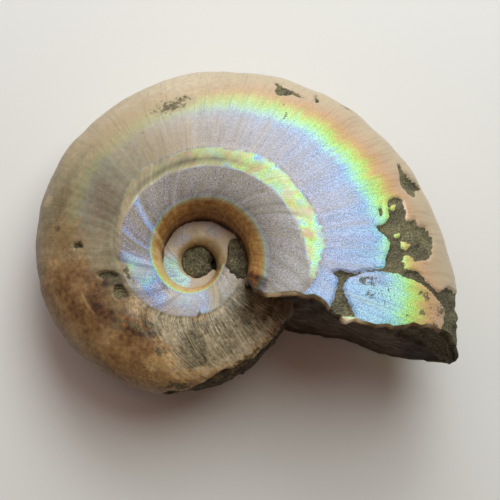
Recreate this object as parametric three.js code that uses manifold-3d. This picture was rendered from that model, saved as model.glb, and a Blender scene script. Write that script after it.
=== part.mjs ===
// A desmoceras ammonite: a coiled fossil shell filled with hard grey sediment, lying on its side.
// The last whorl hides most of the whorl before it. The lip is broken, and flakes of the shell are
// missing, so that the sediment shows in shallow pits, in the umbilicus and along the worn edge.
// Millimetres, +Z up. The broken aperture faces -Y. The origin is on the surface that the shell
// lies on, under the middle of its footprint.

import * as THREE from 'three';
import { mergeVertices } from 'three/addons/utils/BufferGeometryUtils.js';
import Module from 'manifold-3d';

const wasm = await Module();
wasm.setup();

// The coil. Lengths marked as shares are shares of the whorl's outer radius.
const DIAMETER = 50;
const GROWTH = 0.146; // natural logarithm of the growth in radius for each radian of coiling
const HALF_THICKNESS = 0.36; // share
const SHOULDER = 0.225; // share, where the umbilical wall stands
const FLANK_TOP = 0.45; // share, where the flank is thickest
const FLANK_POWER = 2.3; // 2 would be an ellipse, and more is squarer
const WALL_POWER = 3.2;
const LIP = -20; // degrees round the coil axis from +X, the mean place of the broken lip
const WHORL_START = LIP + 360;
const INNER_END = LIP + 720; // the sediment in the umbilicus hides the coil from here
const LIP_RADIUS = DIAMETER / (1 + Math.exp(-GROWTH * Math.PI));

// The shell wall and its wear
const SHELL = 0.5; // thickness of the nacre, and of the ledge round the aperture
const FLARE = 0.035; // share by which the venter spreads just behind the lip
const STEP_HEIGHT = 0.3; // inner flank above the outer flank
const GROOVE = 0.28; // depth of the constrictions
const LUMP = 0.14; // slow unevenness of the worn shell
const ROCK_ROUGH = 0.3; // bumps of bare sediment

// How the shell lies: it leans until it rests on its flank, where 0.2 mm of it is worn flat. The
// coil's centre is above and beside the origin, which is under the middle of the footprint.
const LEAN = 7.6; // degrees
const LEAN_TOWARDS = 131; // degrees round +Z from +X
const COIL_CENTRE = new THREE.Vector3(-5.72, -4.55, 9.55);

const SHORTEST_EDGE = 0.01; // slivers shorter than this are closed up where solids are joined

const rad = THREE.MathUtils.degToRad;
const { lerp, smoothstep } = THREE.MathUtils;

// From the coil's own frame, whose Z is the coil axis, to the way the shell lies
const leanAxis = new THREE.Vector3(-Math.sin(rad(LEAN_TOWARDS)), Math.cos(rad(LEAN_TOWARDS)), 0);
const lie = new THREE.Matrix4().makeRotationAxis(leanAxis, rad(LEAN)).setPosition(COIL_CENTRE);

const whorlRadius = (degrees) => LIP_RADIUS * Math.exp(-GROWTH * rad(degrees - LIP));

// Unevenness between -1 and 1 from a few waves, so that it is the same every time
function waves(x, y, z) {
  const broad = Math.sin(1.3 * x + 0.7 * z + 1.1) * Math.sin(1.1 * y - 0.5 * x + 0.4);
  const fine = Math.sin(2.6 * y + 1.9 * z + 2.2) * Math.sin(2.2 * x - 1.3 * y + z);
  return 0.62 * broad + 0.38 * fine;
}

// The value at a place on a line of [place, value] stops, straight between them
function along(stops, place) {
  if (place <= stops[0][0]) return stops[0][1];
  for (let i = 1; i < stops.length; i += 1) {
    const [a, low] = stops[i - 1];
    const [b, high] = stops[i];
    if (place <= b) return lerp(low, high, (place - a) / (b - a));
  }
  return stops[stops.length - 1][1];
}

// The broken lip: degrees round the coil at each share of the radius, on the upper and lower flank
const LIP_ABOVE = [
  [0.225, -28], [0.26, -34], [0.31, -33], [0.36, -28.5], [0.45, -23], [0.52, -24.6], [0.6, -24],
  [0.69, -23.1], [0.75, -21.5], [0.81, -18.9], [0.88, -17.5], [0.95, -18.5], [1, -20.5],
];
const LIP_BELOW = [
  [0.225, -28], [0.3, -27.5], [0.4, -26.5], [0.51, -23], [0.64, -20.5], [0.77, -22], [1, -21.5],
];
const LIP_BLEND_END = 6; // degrees, where the rings are flat again
// How far the sediment has broken back behind the lip, in millimetres at each share
const FILL_RECESS = [[0.3, 0.9], [0.62, 0.9], [0.8, 0.5], [0.93, 0.1], [1, 0.1]];

// Outer edge of the raised inner flank: share of the radius at each place round the coil
const STEP_EDGE = [
  [-24, 0.42], [-14, 0.46], [0, 0.49], [34, 0.5], [60, 0.51], [94, 0.5], [122, 0.52], [160, 0.47],
  [200, 0.44],
];
const STEP_FADE = [190, 250]; // degrees over which that step dies out
const CONSTRICTIONS = [18, 38, 78, 131, 186, 233, 291]; // degrees, where each meets the venter

// How far the surface stands off the smooth form at a corner of the tube, in millimetres
function relief(degrees, share, side, x, y, z) {
  if (share < SHOULDER + 0.02) return 0;
  const edge = along(STEP_EDGE, degrees) + 0.006 * Math.sin(rad(degrees) * 9);
  const step = 1 - smoothstep(share, edge - 0.035, edge + 0.02);
  let height = STEP_HEIGHT * step * (1 - smoothstep(degrees, ...STEP_FADE));
  for (const place of CONSTRICTIONS) {
    const sweep = 9 * (1 - share) + 3 * Math.sin(2 * Math.PI * share);
    const off = (degrees - place + sweep) / 2.6;
    height -= GROOVE * Math.exp(-off * off) * smoothstep(share, 0.5, 0.9);
  }
  return height + LUMP * waves(x / 3.1, y / 3.1, z / 3.1 + side);
}

// Corners of half a ring: up the umbilical wall, then out over the flank
const WALL_CORNERS = 6;
const FLANK_SHARES = [0.5, 0.55, 0.61, 0.68, 0.75, 0.82, 0.88, 0.93, 0.97, 0.992];

function upperCorners() {
  const corners = [];
  for (let i = 1; i <= WALL_CORNERS; i += 1) {
    const turn = (Math.PI / 2) * (1 - i / WALL_CORNERS);
    const share = FLANK_TOP - (FLANK_TOP - SHOULDER) * Math.sin(turn) ** (2 / WALL_POWER);
    corners.push({ share, height: HALF_THICKNESS * Math.cos(turn) ** (2 / WALL_POWER), side: 1 });
  }
  for (const share of FLANK_SHARES) {
    const sine = ((share - FLANK_TOP) / (1 - FLANK_TOP)) ** (FLANK_POWER / 2);
    const height = HALF_THICKNESS * (1 - sine * sine) ** (1 / FLANK_POWER);
    corners.push({ share, height, side: 1 });
  }
  return corners;
}

// A whole ring starts deep in the umbilicus, goes over the top to the venter and back underneath
const UPPER = upperCorners();
const LOWER = UPPER.map(({ share, height }) => ({ share, height: -height, side: -1 })).reverse();
const RING = [
  { share: SHOULDER, height: 0, side: 1 }, ...UPPER, { share: 1, height: 0, side: 1 }, ...LOWER,
];

// A corner of the tube in the coil's frame, sunk below the shell's surface by a depth in
// millimetres. The surface is raised and sunk along the outward direction of the oval section.
function tubePoint(degrees, corner, sunk) {
  const radius = whorlRadius(degrees);
  const spread = FLARE * (1 - smoothstep(degrees, LIP, 4)) * smoothstep(corner.share, 0.6, 1);
  const out = (corner.share * (1 + spread) - FLANK_TOP) * radius;
  const up = corner.height * radius;
  const width = corner.share < FLANK_TOP ? FLANK_TOP - SHOULDER : 1 - FLANK_TOP;
  const outward = new THREE.Vector2(out / width ** 2, up / HALF_THICKNESS ** 2).normalize();
  const turn = rad(degrees);
  const reach = FLANK_TOP * radius + out;
  const x = reach * Math.cos(turn);
  const y = reach * Math.sin(turn);
  const raise = relief(degrees, corner.share, corner.side, x, y, up) - sunk;
  const away = reach + raise * outward.x;
  return new THREE.Vector3(away * Math.cos(turn), away * Math.sin(turn), up + raise * outward.y);
}

const ring = (degreesAt, sunkAt) => RING.map((corner) => {
  const degrees = degreesAt(corner);
  return tubePoint(degrees, corner, sunkAt(degrees, corner));
});
const shellDepth = () => 0;
function rockDepth(degrees, corner) {
  const on = tubePoint(degrees, corner, 0).multiplyScalar(1.7);
  return SHELL + ROCK_ROUGH * (1 + waves(on.x, on.y, on.z)) - ROCK_ROUGH / 2;
}

// Degrees at which the rings stand, closer together near the lip
function* stations(from, to, step) {
  const count = Math.round((to - from) / step);
  for (let i = 0; i <= count; i += 1) yield from + ((to - from) * i) / count;
}

// A closed mesh from rings of corners, with a flat or a broken face at the start
function tube(rings, roughen) {
  const points = rings.flat();
  const faces = [];
  const size = RING.length;
  for (let i = 0; i + 1 < rings.length; i += 1) {
    for (let j = 0; j < size; j += 1) {
      const a = i * size + j;
      const b = i * size + ((j + 1) % size);
      faces.push([a, b, a + size], [b, b + size, a + size]);
    }
  }
  closeEnd(points, faces, 0, true, roughen);
  closeEnd(points, faces, (rings.length - 1) * size, false, null);
  return solid(points, faces);
}

// Closes an end with rungs from each upper corner to the lower one opposite. A broken face has
// its rungs divided, and the points on them moved by the given function.
const RUNG_STEPS = 6;
function closeEnd(points, faces, first, turned, roughen) {
  const half = RING.length / 2;
  const steps = roughen ? RUNG_STEPS : 1;
  const rungs = [];
  for (let j = 0; j <= half; j += 1) {
    const above = first + j;
    const below = first + ((RING.length - j) % RING.length);
    const rung = [above];
    for (let k = 1; k < steps; k += 1) {
      if (above === below) rung.push(above);
      else {
        const at = points[above].clone().lerp(points[below], k / steps);
        rung.push(points.push(roughen(at, Math.sin((Math.PI * k) / steps))) - 1);
      }
    }
    rung.push(below);
    rungs.push(rung);
  }
  for (let j = 0; j < half; j += 1) {
    for (let k = 0; k < steps; k += 1) {
      const [a, b] = [rungs[j][k], rungs[j][k + 1]];
      const [c, d] = [rungs[j + 1][k], rungs[j + 1][k + 1]];
      for (const face of [[a, c, b], [c, d, b]]) {
        if (new Set(face).size === 3) faces.push(turned ? face.reverse() : face);
      }
    }
  }
}

// A solid from points in the coil's frame, laid the way the shell lies
function solid(points, faces) {
  const geometry = new THREE.BufferGeometry();
  const corners = faces.flat().flatMap((index) => points[index].toArray());
  geometry.setAttribute('position', new THREE.Float32BufferAttribute(corners, 3));
  return asManifold(geometry.applyMatrix4(lie));
}

function asManifold(geometry) {
  const bare = geometry.clone();
  bare.deleteAttribute('normal');
  bare.deleteAttribute('uv');
  const merged = mergeVertices(bare, 1e-4);
  return new wasm.Manifold(new wasm.Mesh({
    numProp: 3,
    vertProperties: merged.attributes.position.array,
    triVerts: Uint32Array.from(merged.index.array),
    tolerance: SHORTEST_EDGE,
  }));
}

// The last whorl from the lip back, with the sediment broken away behind the edge of the shell
const WHORL_PARTS = [LIP_BLEND_END, 160, WHORL_START];
const lipAngle = ({ share, side }) => along(side > 0 ? LIP_ABOVE : LIP_BELOW, share);
const arcDegrees = (millimetres, radius) => THREE.MathUtils.radToDeg(millimetres / radius);

function lipSegment() {
  const behind = (corner) => {
    const radius = Math.max(corner.share, 0.3) * LIP_RADIUS;
    return lipAngle(corner) + arcDegrees(along(FILL_RECESS, corner.share), radius);
  };
  const rings = [
    ring(behind, () => SHELL),
    ring(lipAngle, () => SHELL),
  ];
  const columns = 10;
  for (let i = 0; i <= columns; i += 1) {
    rings.push(ring((corner) => lerp(lipAngle(corner), LIP_BLEND_END, i / columns), shellDepth));
  }
  const roughen = (at, middle) => {
    const bump = ROCK_ROUGH * 1.6 * waves(at.x * 1.4, at.y, at.z * 1.4) * middle;
    const turn = Math.atan2(at.y, at.x);
    return at.add(new THREE.Vector3(Math.sin(turn), -Math.cos(turn), 0).multiplyScalar(bump));
  };
  return tube(rings, roughen);
}

// A further stretch of the whorl, with a narrower nose that reaches into the stretch before it
const NOSE_DEGREES = 4;
function whorlSegment(from, to, step, depth) {
  const nose = ring(() => from - NOSE_DEGREES, () => 2 * SHELL);
  const rings = [...stations(from, to, step)].map((degrees) => ring(() => degrees, depth));
  return tube([nose, ...rings], null);
}

// Sediment left in the umbilicus: a plug right through the middle, and a patch on the inner whorl
const PLUG = { middle: new THREE.Vector3(0, 0, 0), radii: new THREE.Vector3(2.4, 2.4, 2.35) };
const PATCH = { middle: new THREE.Vector3(4.8, -0.5, 3.8), radii: new THREE.Vector3(1.3, 2.4, 0.9) };

// A rounded lump of sediment, rough all over. More than 2 for boxy squares its corners.
function lump(middle, radii, detail, boxy) {
  const ball = new THREE.IcosahedronGeometry(1, detail);
  const places = ball.attributes.position;
  const at = new THREE.Vector3();
  for (let i = 0; i < places.count; i += 1) {
    at.fromBufferAttribute(places, i);
    const round = (Math.abs(at.x) ** boxy + Math.abs(at.y) ** boxy + Math.abs(at.z) ** boxy);
    at.multiplyScalar(round ** (-1 / boxy)).multiply(radii).add(middle);
    const bump = ROCK_ROUGH * waves(at.x * 2.3, at.y * 2.3, at.z * 2.3);
    at.addScaledVector(at.clone().sub(middle).normalize(), bump);
    places.setXYZ(i, at.x, at.y, at.z);
  }
  return asManifold(ball.applyMatrix4(lie));
}

// Flakes of shell that are missing, as outlines seen along the coil axis, in millimetres from it.
// Each is cut down to the sediment between two heights above the mid-plane.
const AROUND_ISLAND = [
  [21.4, 4.8], [22, 6.3], [22.9, 6.3], [23.4, 3.7], [24.9, 3.6], [26, 2.7], [26.5, 1.5], [25.7, -1],
  [24.3, -1.2], [23.1, -0.5], [22.6, -1.8], [25.2, -3], [27.1, -4.4], [28, -4.3], [28.1, -6.8],
  [27, -5.5], [25.9, -4.6], [24.6, -3.6], [22.7, -3.3], [19.9, -2.6], [18.6, -2.8], [17, -3.5],
  [16.3, -4.7], [17, -6.6], [17.6, -8.5], [13.6, -8], [14.7, -6.3], [15.5, -4.6], [15.7, -2.9],
  [18.6, -2.4], [20.2, -2.2], [21.3, 0], [21.1, 1.5], [19.8, 2.3],
];
const SIDE_FLAKE = [
  [22.9, 10.3], [23.5, 10.9], [24.2, 9.8], [25.4, 9], [26.1, 7.8], [25.7, 7.1], [24.5, 7.1],
  [23.3, 8.2],
];
const TOP_FLAKE = [
  [8.9, 20.5], [9.8, 20.9], [10.8, 19.6], [12.4, 18.7], [12, 17.9], [10.1, 17.7], [9.1, 18.4],
];
const VENTER_FLAKE = [[27.7, -4.1], [33, -3], [33, -14], [25, -11], [27.4, -7.8], [27.8, -6.2]];
const VENTER_DEEP = [[28.6, -6.1], [33, -5], [33, -14], [25, -12], [27.3, -9.3], [28.4, -8]];
const BACK_FLAKE = [[2, 19], [4.5, 20.4], [7.5, 19.5], [8.2, 16.8], [6, 15.2], [3.4, 16.3]];
const pit = (x, y, across) => [[-1, 0.1], [-0.4, 0.7], [0.5, 0.8], [1, -0.2], [0.3, -0.7], [-0.6, -0.6]]
  .map(([right, up]) => [x + (right * across) / 2, y + (up * across) / 2]);
const FLAKES = [
  { outline: AROUND_ISLAND, low: 1, high: 16 },
  { outline: SIDE_FLAKE, low: 1, high: 16 },
  { outline: TOP_FLAKE, low: 1, high: 16 },
  { outline: VENTER_FLAKE, low: -1.5, high: 16 },
  { outline: VENTER_DEEP, low: -5, high: 16 },
  { outline: BACK_FLAKE, low: -16, high: -1 },
  { outline: pit(-12.9, 1, 1.1), low: 1, high: 16 },
  { outline: pit(-9, -2.6, 1), low: 1, high: 16 },
  { outline: pit(-7.9, -4.1, 1.5), low: 1, high: 16 },
  { outline: pit(15.6, -13.4, 2.1), low: -16, high: -1 },
];

// The worn lower edge, where the shell is gone from the venter
const WORN = { from: 229, to: 333, inner: 0.9, low: -2.5, high: 16 };

function wornOutline() {
  const inner = [];
  const outer = [];
  for (const degrees of stations(WORN.from, WORN.to, 5)) {
    const turn = rad(degrees);
    const ends = Math.sin((Math.PI * (degrees - WORN.from)) / (WORN.to - WORN.from));
    const share = WORN.inner + 0.08 * (1 - Math.abs(ends) ** 0.4) + 0.022 * Math.sin(turn * 17);
    const radius = whorlRadius(degrees);
    inner.push([share * radius * Math.cos(turn), share * radius * Math.sin(turn)]);
    outer.unshift([1.15 * radius * Math.cos(turn), 1.15 * radius * Math.sin(turn)]);
  }
  return [...inner, ...outer];
}

function flakeCutter({ outline, low, high }) {
  const shape = new THREE.Shape(outline.map(([x, y]) => new THREE.Vector2(x, y)));
  const prism = new THREE.ExtrudeGeometry(shape, { depth: high - low, bevelEnabled: false });
  return asManifold(prism.translate(0, 0, low).applyMatrix4(lie));
}

function join(solids) {
  return solids.reduce((whole, next) => whole.add(next));
}

function ammonite() {
  const shell = [
    lipSegment(),
    whorlSegment(WHORL_PARTS[0], WHORL_PARTS[1], 5, shellDepth),
    whorlSegment(WHORL_PARTS[1], WHORL_PARTS[2], 6, shellDepth),
    whorlSegment(WHORL_START, WHORL_START + 180, 10, shellDepth),
    whorlSegment(WHORL_START + 180, INNER_END, 15, shellDepth),
  ];
  const rock = [
    whorlSegment(LIP - 6, 34, 2.5, rockDepth),
    whorlSegment(34, WHORL_PARTS[1], 5, rockDepth),
    whorlSegment(WHORL_PARTS[1], WHORL_PARTS[2], 5, rockDepth),
  ];
  const plug = lump(PLUG.middle, PLUG.radii, 4, 5);
  const besideWhorl = lump(PATCH.middle, PATCH.radii, 3, 2.5);
  const worn = { outline: wornOutline(), low: WORN.low, high: WORN.high };
  const cutters = join([...FLAKES, worn].map(flakeCutter)).subtract(join(rock));
  const whole = join(shell).subtract(cutters).add(plug).add(besideWhorl);
  const ground = new THREE.BoxGeometry(120, 120, 20).toNonIndexed().translate(0, 0, -10);
  return whole.subtract(asManifold(ground));
}

function asGeometry(manifold) {
  const mesh = manifold.getMesh();
  const geometry = new THREE.BufferGeometry();
  geometry.setAttribute('position', new THREE.Float32BufferAttribute(mesh.vertProperties, 3));
  geometry.setIndex(new THREE.BufferAttribute(mesh.triVerts, 1));
  const faceted = geometry.toNonIndexed();
  faceted.computeVertexNormals();
  return faceted;
}

const nacre = new THREE.MeshStandardMaterial({ color: 0xb5a89a, roughness: 0.35, metalness: 0 });
const fossil = new THREE.Mesh(asGeometry(ammonite()), nacre);
fossil.name = 'ammonite';

const model = new THREE.Group();
model.add(fossil);
export default model;
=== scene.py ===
# %% [markdown]
# A desmoceras ammonite
#
# The object is a fossil: a coiled shell of aragonite, whose mother-of-pearl still shines in rainbow
# colours, filled with hard grey-green sediment. It is about 50 mm across and lies on its side.
#
# The CAD model holds its true form in under ten thousand facets. This script dresses that form. It
# could be sculpted by hand on top of the CAD mesh, but then nothing would say where on the coil a point
# is. So the script builds the same coil again as a fine grid, lets flakes, growth lines and the broken
# lip stand in real relief, and colours the mother-of-pearl from where each point is on the coil.

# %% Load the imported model
import math

import bpy
import numpy as np
from mathutils import Matrix, Vector


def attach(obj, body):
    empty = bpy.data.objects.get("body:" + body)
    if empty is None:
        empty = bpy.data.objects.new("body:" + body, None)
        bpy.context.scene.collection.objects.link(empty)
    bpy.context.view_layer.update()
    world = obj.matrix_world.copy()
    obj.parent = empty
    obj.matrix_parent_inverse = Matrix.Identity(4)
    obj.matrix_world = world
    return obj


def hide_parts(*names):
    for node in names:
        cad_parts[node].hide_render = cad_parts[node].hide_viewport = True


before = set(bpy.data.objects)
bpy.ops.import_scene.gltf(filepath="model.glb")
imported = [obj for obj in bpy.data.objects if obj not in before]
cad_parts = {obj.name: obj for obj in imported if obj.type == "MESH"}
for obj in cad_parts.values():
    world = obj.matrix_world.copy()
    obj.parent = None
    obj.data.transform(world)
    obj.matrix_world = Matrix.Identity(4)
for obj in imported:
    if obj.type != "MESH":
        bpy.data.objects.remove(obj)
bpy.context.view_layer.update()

# %% [markdown]
# The coil as a formula
#
# An ammonite grows by adding to its lip, and each new ring is a slightly larger copy of the last one.
# So the whole shell is one oval section, swept round an axis while it shrinks by a fixed factor for
# each degree. It could be modelled by hand from a tube, but the formula gives every point an address:
# its angle round the coil, and its share of the whorl's radius. The features below are placed by it.

# %% The coil's dimensions, in millimetres and degrees
# Lengths across the section are shares of the whorl's radius. They are the CAD model's, but for the
# umbilical wall, which is a little steeper here, as it is on the fossil.
MM = 0.001
DIAMETER = 50
GROWTH = 0.146
HALF_THICKNESS = 0.36
SHOULDER = 0.2
FLANK_TOP = 0.45
FLANK_POWER = 2.3
WALL_POWER = 3.8
LIP = -20
LIP_RADIUS = DIAMETER / (1 + math.exp(-GROWTH * math.pi))
INNER_END = LIP + 720

# The shell leans until it rests on its flank
LEAN = 7.6
LEAN_TOWARDS = 131
COIL_CENTRE = Vector((-5.72, -4.55, 9.55))


def whorl_radius(degrees):
    return LIP_RADIUS * np.exp(-GROWTH * np.radians(degrees - LIP))


lean_axis = Vector((-math.sin(math.radians(LEAN_TOWARDS)), math.cos(math.radians(LEAN_TOWARDS)), 0))
coil_to_part = (
    Matrix.Scale(MM, 4)
    @ Matrix.Translation(COIL_CENTRE)
    @ Matrix.Rotation(math.radians(LEAN), 4, lean_axis)
)
print("radius at the lip", round(LIP_RADIUS, 2), "mm, one turn back", round(float(whorl_radius(340)), 2))

# %% [markdown]
# The camera
#
# The photo was taken from almost straight above. The coil's spiral in it gives the view: a camera about
# 139 mm away from the middle of the shell, with the coil axis leaning 13 degrees up the picture. The
# camera is therefore placed from the coil, and then the lean of the coil on the table is applied to it.

# %% Place the camera
FOCAL_PIXELS = 1200
FRAME_PIXELS = 500
AXIS_UP_THE_PICTURE = 0.2284
AXIS_SIDEWAYS = -0.0026
COIL_SEEN_AT = Vector((-6.204, -1.933, -138.9))


def coil_to_camera():
    tilt, turn = AXIS_UP_THE_PICTURE, AXIS_SIDEWAYS
    rows = (
        (math.cos(turn), 0, -math.sin(turn)),
        (math.sin(tilt) * math.sin(turn), math.cos(tilt), math.sin(tilt) * math.cos(turn)),
        (math.cos(tilt) * math.sin(turn), -math.sin(tilt), math.cos(tilt) * math.cos(turn)),
    )
    return Matrix.Translation(COIL_SEEN_AT) @ Matrix(rows).to_4x4()


camera_data = bpy.data.cameras.new("camera")
camera_data.angle = 2 * math.atan(FRAME_PIXELS / 2 / FOCAL_PIXELS)
camera_data.clip_start = 0.01
camera = bpy.data.objects.new("camera", camera_data)
bpy.context.scene.collection.objects.link(camera)
bpy.context.scene.camera = camera
camera_place = coil_to_part @ coil_to_camera().inverted()
camera.matrix_world = Matrix.Translation(camera_place.to_translation()) @ (
    camera_place.to_3x3().normalized().to_4x4()
)
print("camera at, mm:", [round(value * 1000, 1) for value in camera.matrix_world.to_translation()])

# %% [markdown]
# Unevenness
#
# Nothing on a fossil is smooth. Value noise gives that: each corner of a lattice gets a number from a
# hash of its place, and points between are blended. It is the same in every run, and its cell size is
# a real length, so a flake's edge and a grain of rock can each have noise of their own size.

# %% Noise with a size in millimetres
SEED_SHIFT = 19.17  # cells from the noise of one seed to that of the next


def lattice_noise(points, cell, seed):
    """Noise between -1 and 1 whose bumps are about one cell wide."""
    place = points / cell + seed * SEED_SHIFT
    corner = np.floor(place).astype(np.int64)
    blend = place - corner
    blend = blend * blend * (3 - 2 * blend)
    total = np.zeros(points.shape[:-1])
    # Large odd numbers scatter the corner's place over 32 bits, of which 16 make the value
    for step in np.ndindex(2, 2, 2):
        x, y, z = (corner[..., axis] + step[axis] for axis in range(3))
        mixed = (x * 374761393 + y * 668265263 + z * 2147483629 + seed * 974711) & 0xFFFFFFFF
        mixed = ((mixed ^ (mixed >> 13)) * 1274126177) & 0xFFFFFFFF
        value = ((mixed ^ (mixed >> 16)) & 0xFFFF) / 32767.5 - 1
        weight = np.ones_like(total)
        for axis in range(3):
            weight = weight * (blend[..., axis] if step[axis] else 1 - blend[..., axis])
        total += weight * value
    return total


def rough(points, cell, seed, octaves=3):
    """Fractal noise: each octave has cells half as large and half as strong."""
    layers = (lattice_noise(points, cell / 2**n, seed + n) / 2**n for n in range(octaves))
    return sum(layers) / (2 - 2 ** (1 - octaves))


def smooth(value, low, high):
    """Rises from 0 at low to 1 at high, or falls if high is the lower one."""
    share = np.clip((value - low) / (high - low), 0, 1)
    return share * share * (3 - 2 * share)


sample = rough(np.linspace(0, 500, 9000).reshape(-1, 3), 1.0, 5)
print("noise runs from", round(float(sample.min()), 2), "to", round(float(sample.max()), 2))


# %% [markdown]
# The grid of the shell
#
# The tube is cut into rings, and each ring into points that stand about a quarter of a millimetre
# apart on the side that the camera sees. The underside gets fewer points, and the part of a ring that
# touches the whorl before it, which is never seen, gets one. A subdivided tube would be quicker to
# make, but its points would bunch up in the umbilicus and be too sparse at the lip.

# %% Points of one ring
UPPER_POINTS = 118
LOWER_POINTS = 47
STARTS_AT = 0.3 * HALF_THICKNESS  # height above the coil's middle plane where the fine points start


def half_section():
    """A fine line from the umbilical wall, over the flank, to the venter: share of radius, height."""
    wall = np.linspace(np.pi / 2, 0, 500)[:-1]
    flank = np.linspace(0, np.pi / 2, 900)
    share = np.r_[
        FLANK_TOP - (FLANK_TOP - SHOULDER) * np.sin(wall) ** (2 / WALL_POWER),
        FLANK_TOP + (1 - FLANK_TOP) * np.sin(flank) ** (2 / FLANK_POWER),
    ]
    height = HALF_THICKNESS * np.r_[np.cos(wall) ** (2 / WALL_POWER), np.cos(flank) ** (2 / FLANK_POWER)]
    return share, height


def evenly(share, height, count, start_height):
    """Points at equal distances along a line of the section, from a height above its middle on."""
    length = np.r_[0, np.cumsum(np.hypot(np.diff(share), np.diff(height)))]
    first = length[np.argmax(height > start_height)]
    stops = np.linspace(first, length[-1], count)
    return np.interp(stops, length, share), np.interp(stops, length, height)


line_share, line_height = half_section()
upper = evenly(line_share, line_height, UPPER_POINTS, STARTS_AT)
lower = evenly(line_share, line_height, LOWER_POINTS + 1, STARTS_AT)
# One hidden point, then the upper line out to the venter, and the lower line back
ring_share = np.r_[SHOULDER, upper[0], lower[0][-2::-1]]
ring_height = np.r_[0, upper[1], -lower[1][-2::-1]]
ring_side = np.where(np.arange(len(ring_share)) <= UPPER_POINTS, 1.0, -1.0)
RING = len(ring_share)
print("a ring has", RING, "points")

# %% Angles of the rings
RING_SPACING = 0.253  # in millimetres along the coil, measured at the share below
MEASURED_AT = 0.8
lip_ring_radius = float(whorl_radius(LIP - 2))
inner_ring_radius = float(whorl_radius(INNER_END))
ring_count = int((lip_ring_radius - inner_ring_radius) / GROWTH * MEASURED_AT / RING_SPACING)
ring_radius = np.linspace(lip_ring_radius, inner_ring_radius, ring_count)
ring_angle = LIP + np.degrees(np.log(LIP_RADIUS / ring_radius) / GROWTH)
print(ring_count, "rings of", RING, "points,", 2 * ring_count * RING, "triangles")

# %% [markdown]
# The broken lip
#
# The shell has broken along an uneven line, not along a ring. A boolean cut would leave long thin
# triangles there. Instead the line's angle round the coil is given at a few shares of the radius, for
# each flank, and the first rings blend from that line to true rings.

# %% The lip's line, as pairs of share and degrees
LIP_ABOVE = np.array([
    (0.225, -28), (0.26, -34.5), (0.3, -33.6), (0.33, -30.5), (0.36, -27.6), (0.4, -24.6), (0.43, -24.2),
    (0.45, -22.6), (0.483, -22.6), (0.51, -24.2), (0.545, -26), (0.572, -24.9), (0.606, -23.9),
    (0.64, -23.9), (0.69, -23.1), (0.747, -21.5), (0.806, -18.9), (0.88, -17), (0.95, -17.5), (1, -19.8),
])
LIP_BELOW = np.array([
    (0.225, -28), (0.3, -27.5), (0.4, -26.5), (0.51, -23), (0.64, -20.5), (0.77, -21.7), (0.88, -20.6),
    (1, -19.8),
])
LIP_BLEND_END = 6  # from here on a ring is a true ring


def lip_angle(share, side):
    """Angle of the broken line, where side is 1 on the upper flank and -1 on the lower one."""
    line = np.where(side > 0, np.interp(share, *LIP_ABOVE.T), np.interp(share, *LIP_BELOW.T))
    place = np.stack([share * LIP_RADIUS, side * 3.0, np.zeros_like(share)], -1)
    return line + 0.6 * rough(place, 1.5, 3) + 0.4 * rough(place, 0.8, 7, 2)


grid_angle = np.repeat(ring_angle[:, None], RING, 1)
blend_from = ring_angle[0]
blended = np.clip((LIP_BLEND_END - grid_angle) / (LIP_BLEND_END - blend_from), 0, 1)
grid_angle = grid_angle + blended * (lip_angle(ring_share, ring_side) - blend_from)[None, :]
grid_share = np.repeat(ring_share[None, :], ring_count, 0)
grid_height = np.repeat(ring_height[None, :], ring_count, 0)
grid_side = np.repeat(ring_side[None, :], ring_count, 0)
lip_range = np.round((grid_angle[0].min(), grid_angle[0].max()), 1)
print("the lip runs from", lip_range[0], "to", lip_range[1], "degrees")

# %% [markdown]
# Broad form
#
# The venter flares behind the lip, shallow constrictions cross the flank where growth paused, and the
# inner flank stands a little above the outer one, with a bevel between them that catches the light as
# a bright crescent. Formulas in the point's address say how far it is raised or sunk. They are the CAD
# model's, so the two stay together, but the constrictions are a third as deep: in the smooth light of
# the render the deeper ones would show more than they do on the fossil.

# %% Raise and sink the broad form
FLARE = 0.035  # share of the radius
STEP_HEIGHT = 0.3
GROOVE = 0.1
LUMP = 0.14
LUMP_SIZE = 3.1
TINY = 1e-12  # keeps a direction without length from being divided by nothing
STEP_EDGE = np.array([
    (-24, 0.42), (-14, 0.46), (0, 0.49), (34, 0.5), (60, 0.51), (94, 0.5), (122, 0.52), (160, 0.47),
    (200, 0.44),
])
CONSTRICTIONS = (18, 38, 78, 131, 186, 233, 291)


def waves(x, y, z):
    broad = np.sin(1.3 * x + 0.7 * z + 1.1) * np.sin(1.1 * y - 0.5 * x + 0.4)
    fine = np.sin(2.6 * y + 1.9 * z + 2.2) * np.sin(2.2 * x - 1.3 * y + z)
    return 0.62 * broad + 0.38 * fine


def step_edge_at(angle):
    """Share of the radius where the raised inner flank ends."""
    return np.interp(angle, *STEP_EDGE.T) + 0.006 * np.sin(9 * np.radians(angle))


def broad_relief(angle, share, side, x, y, z):
    """Millimetres by which the step, the constrictions and the lumps raise the surface."""
    edge = step_edge_at(angle)
    step = STEP_HEIGHT * smooth(share, edge + 0.02, edge - 0.035) * smooth(angle, 250, 190)
    for place in CONSTRICTIONS:
        sweep = 9 * (1 - share) + 3 * np.sin(2 * np.pi * share)
        step = step - GROOVE * np.exp(-(((angle - place + sweep) / 2.6) ** 2)) * smooth(share, 0.5, 0.9)
    lumps = LUMP * waves(x / LUMP_SIZE, y / LUMP_SIZE, z / LUMP_SIZE + side)
    return np.where(share < SHOULDER + 0.02, 0, step + lumps)


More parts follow.
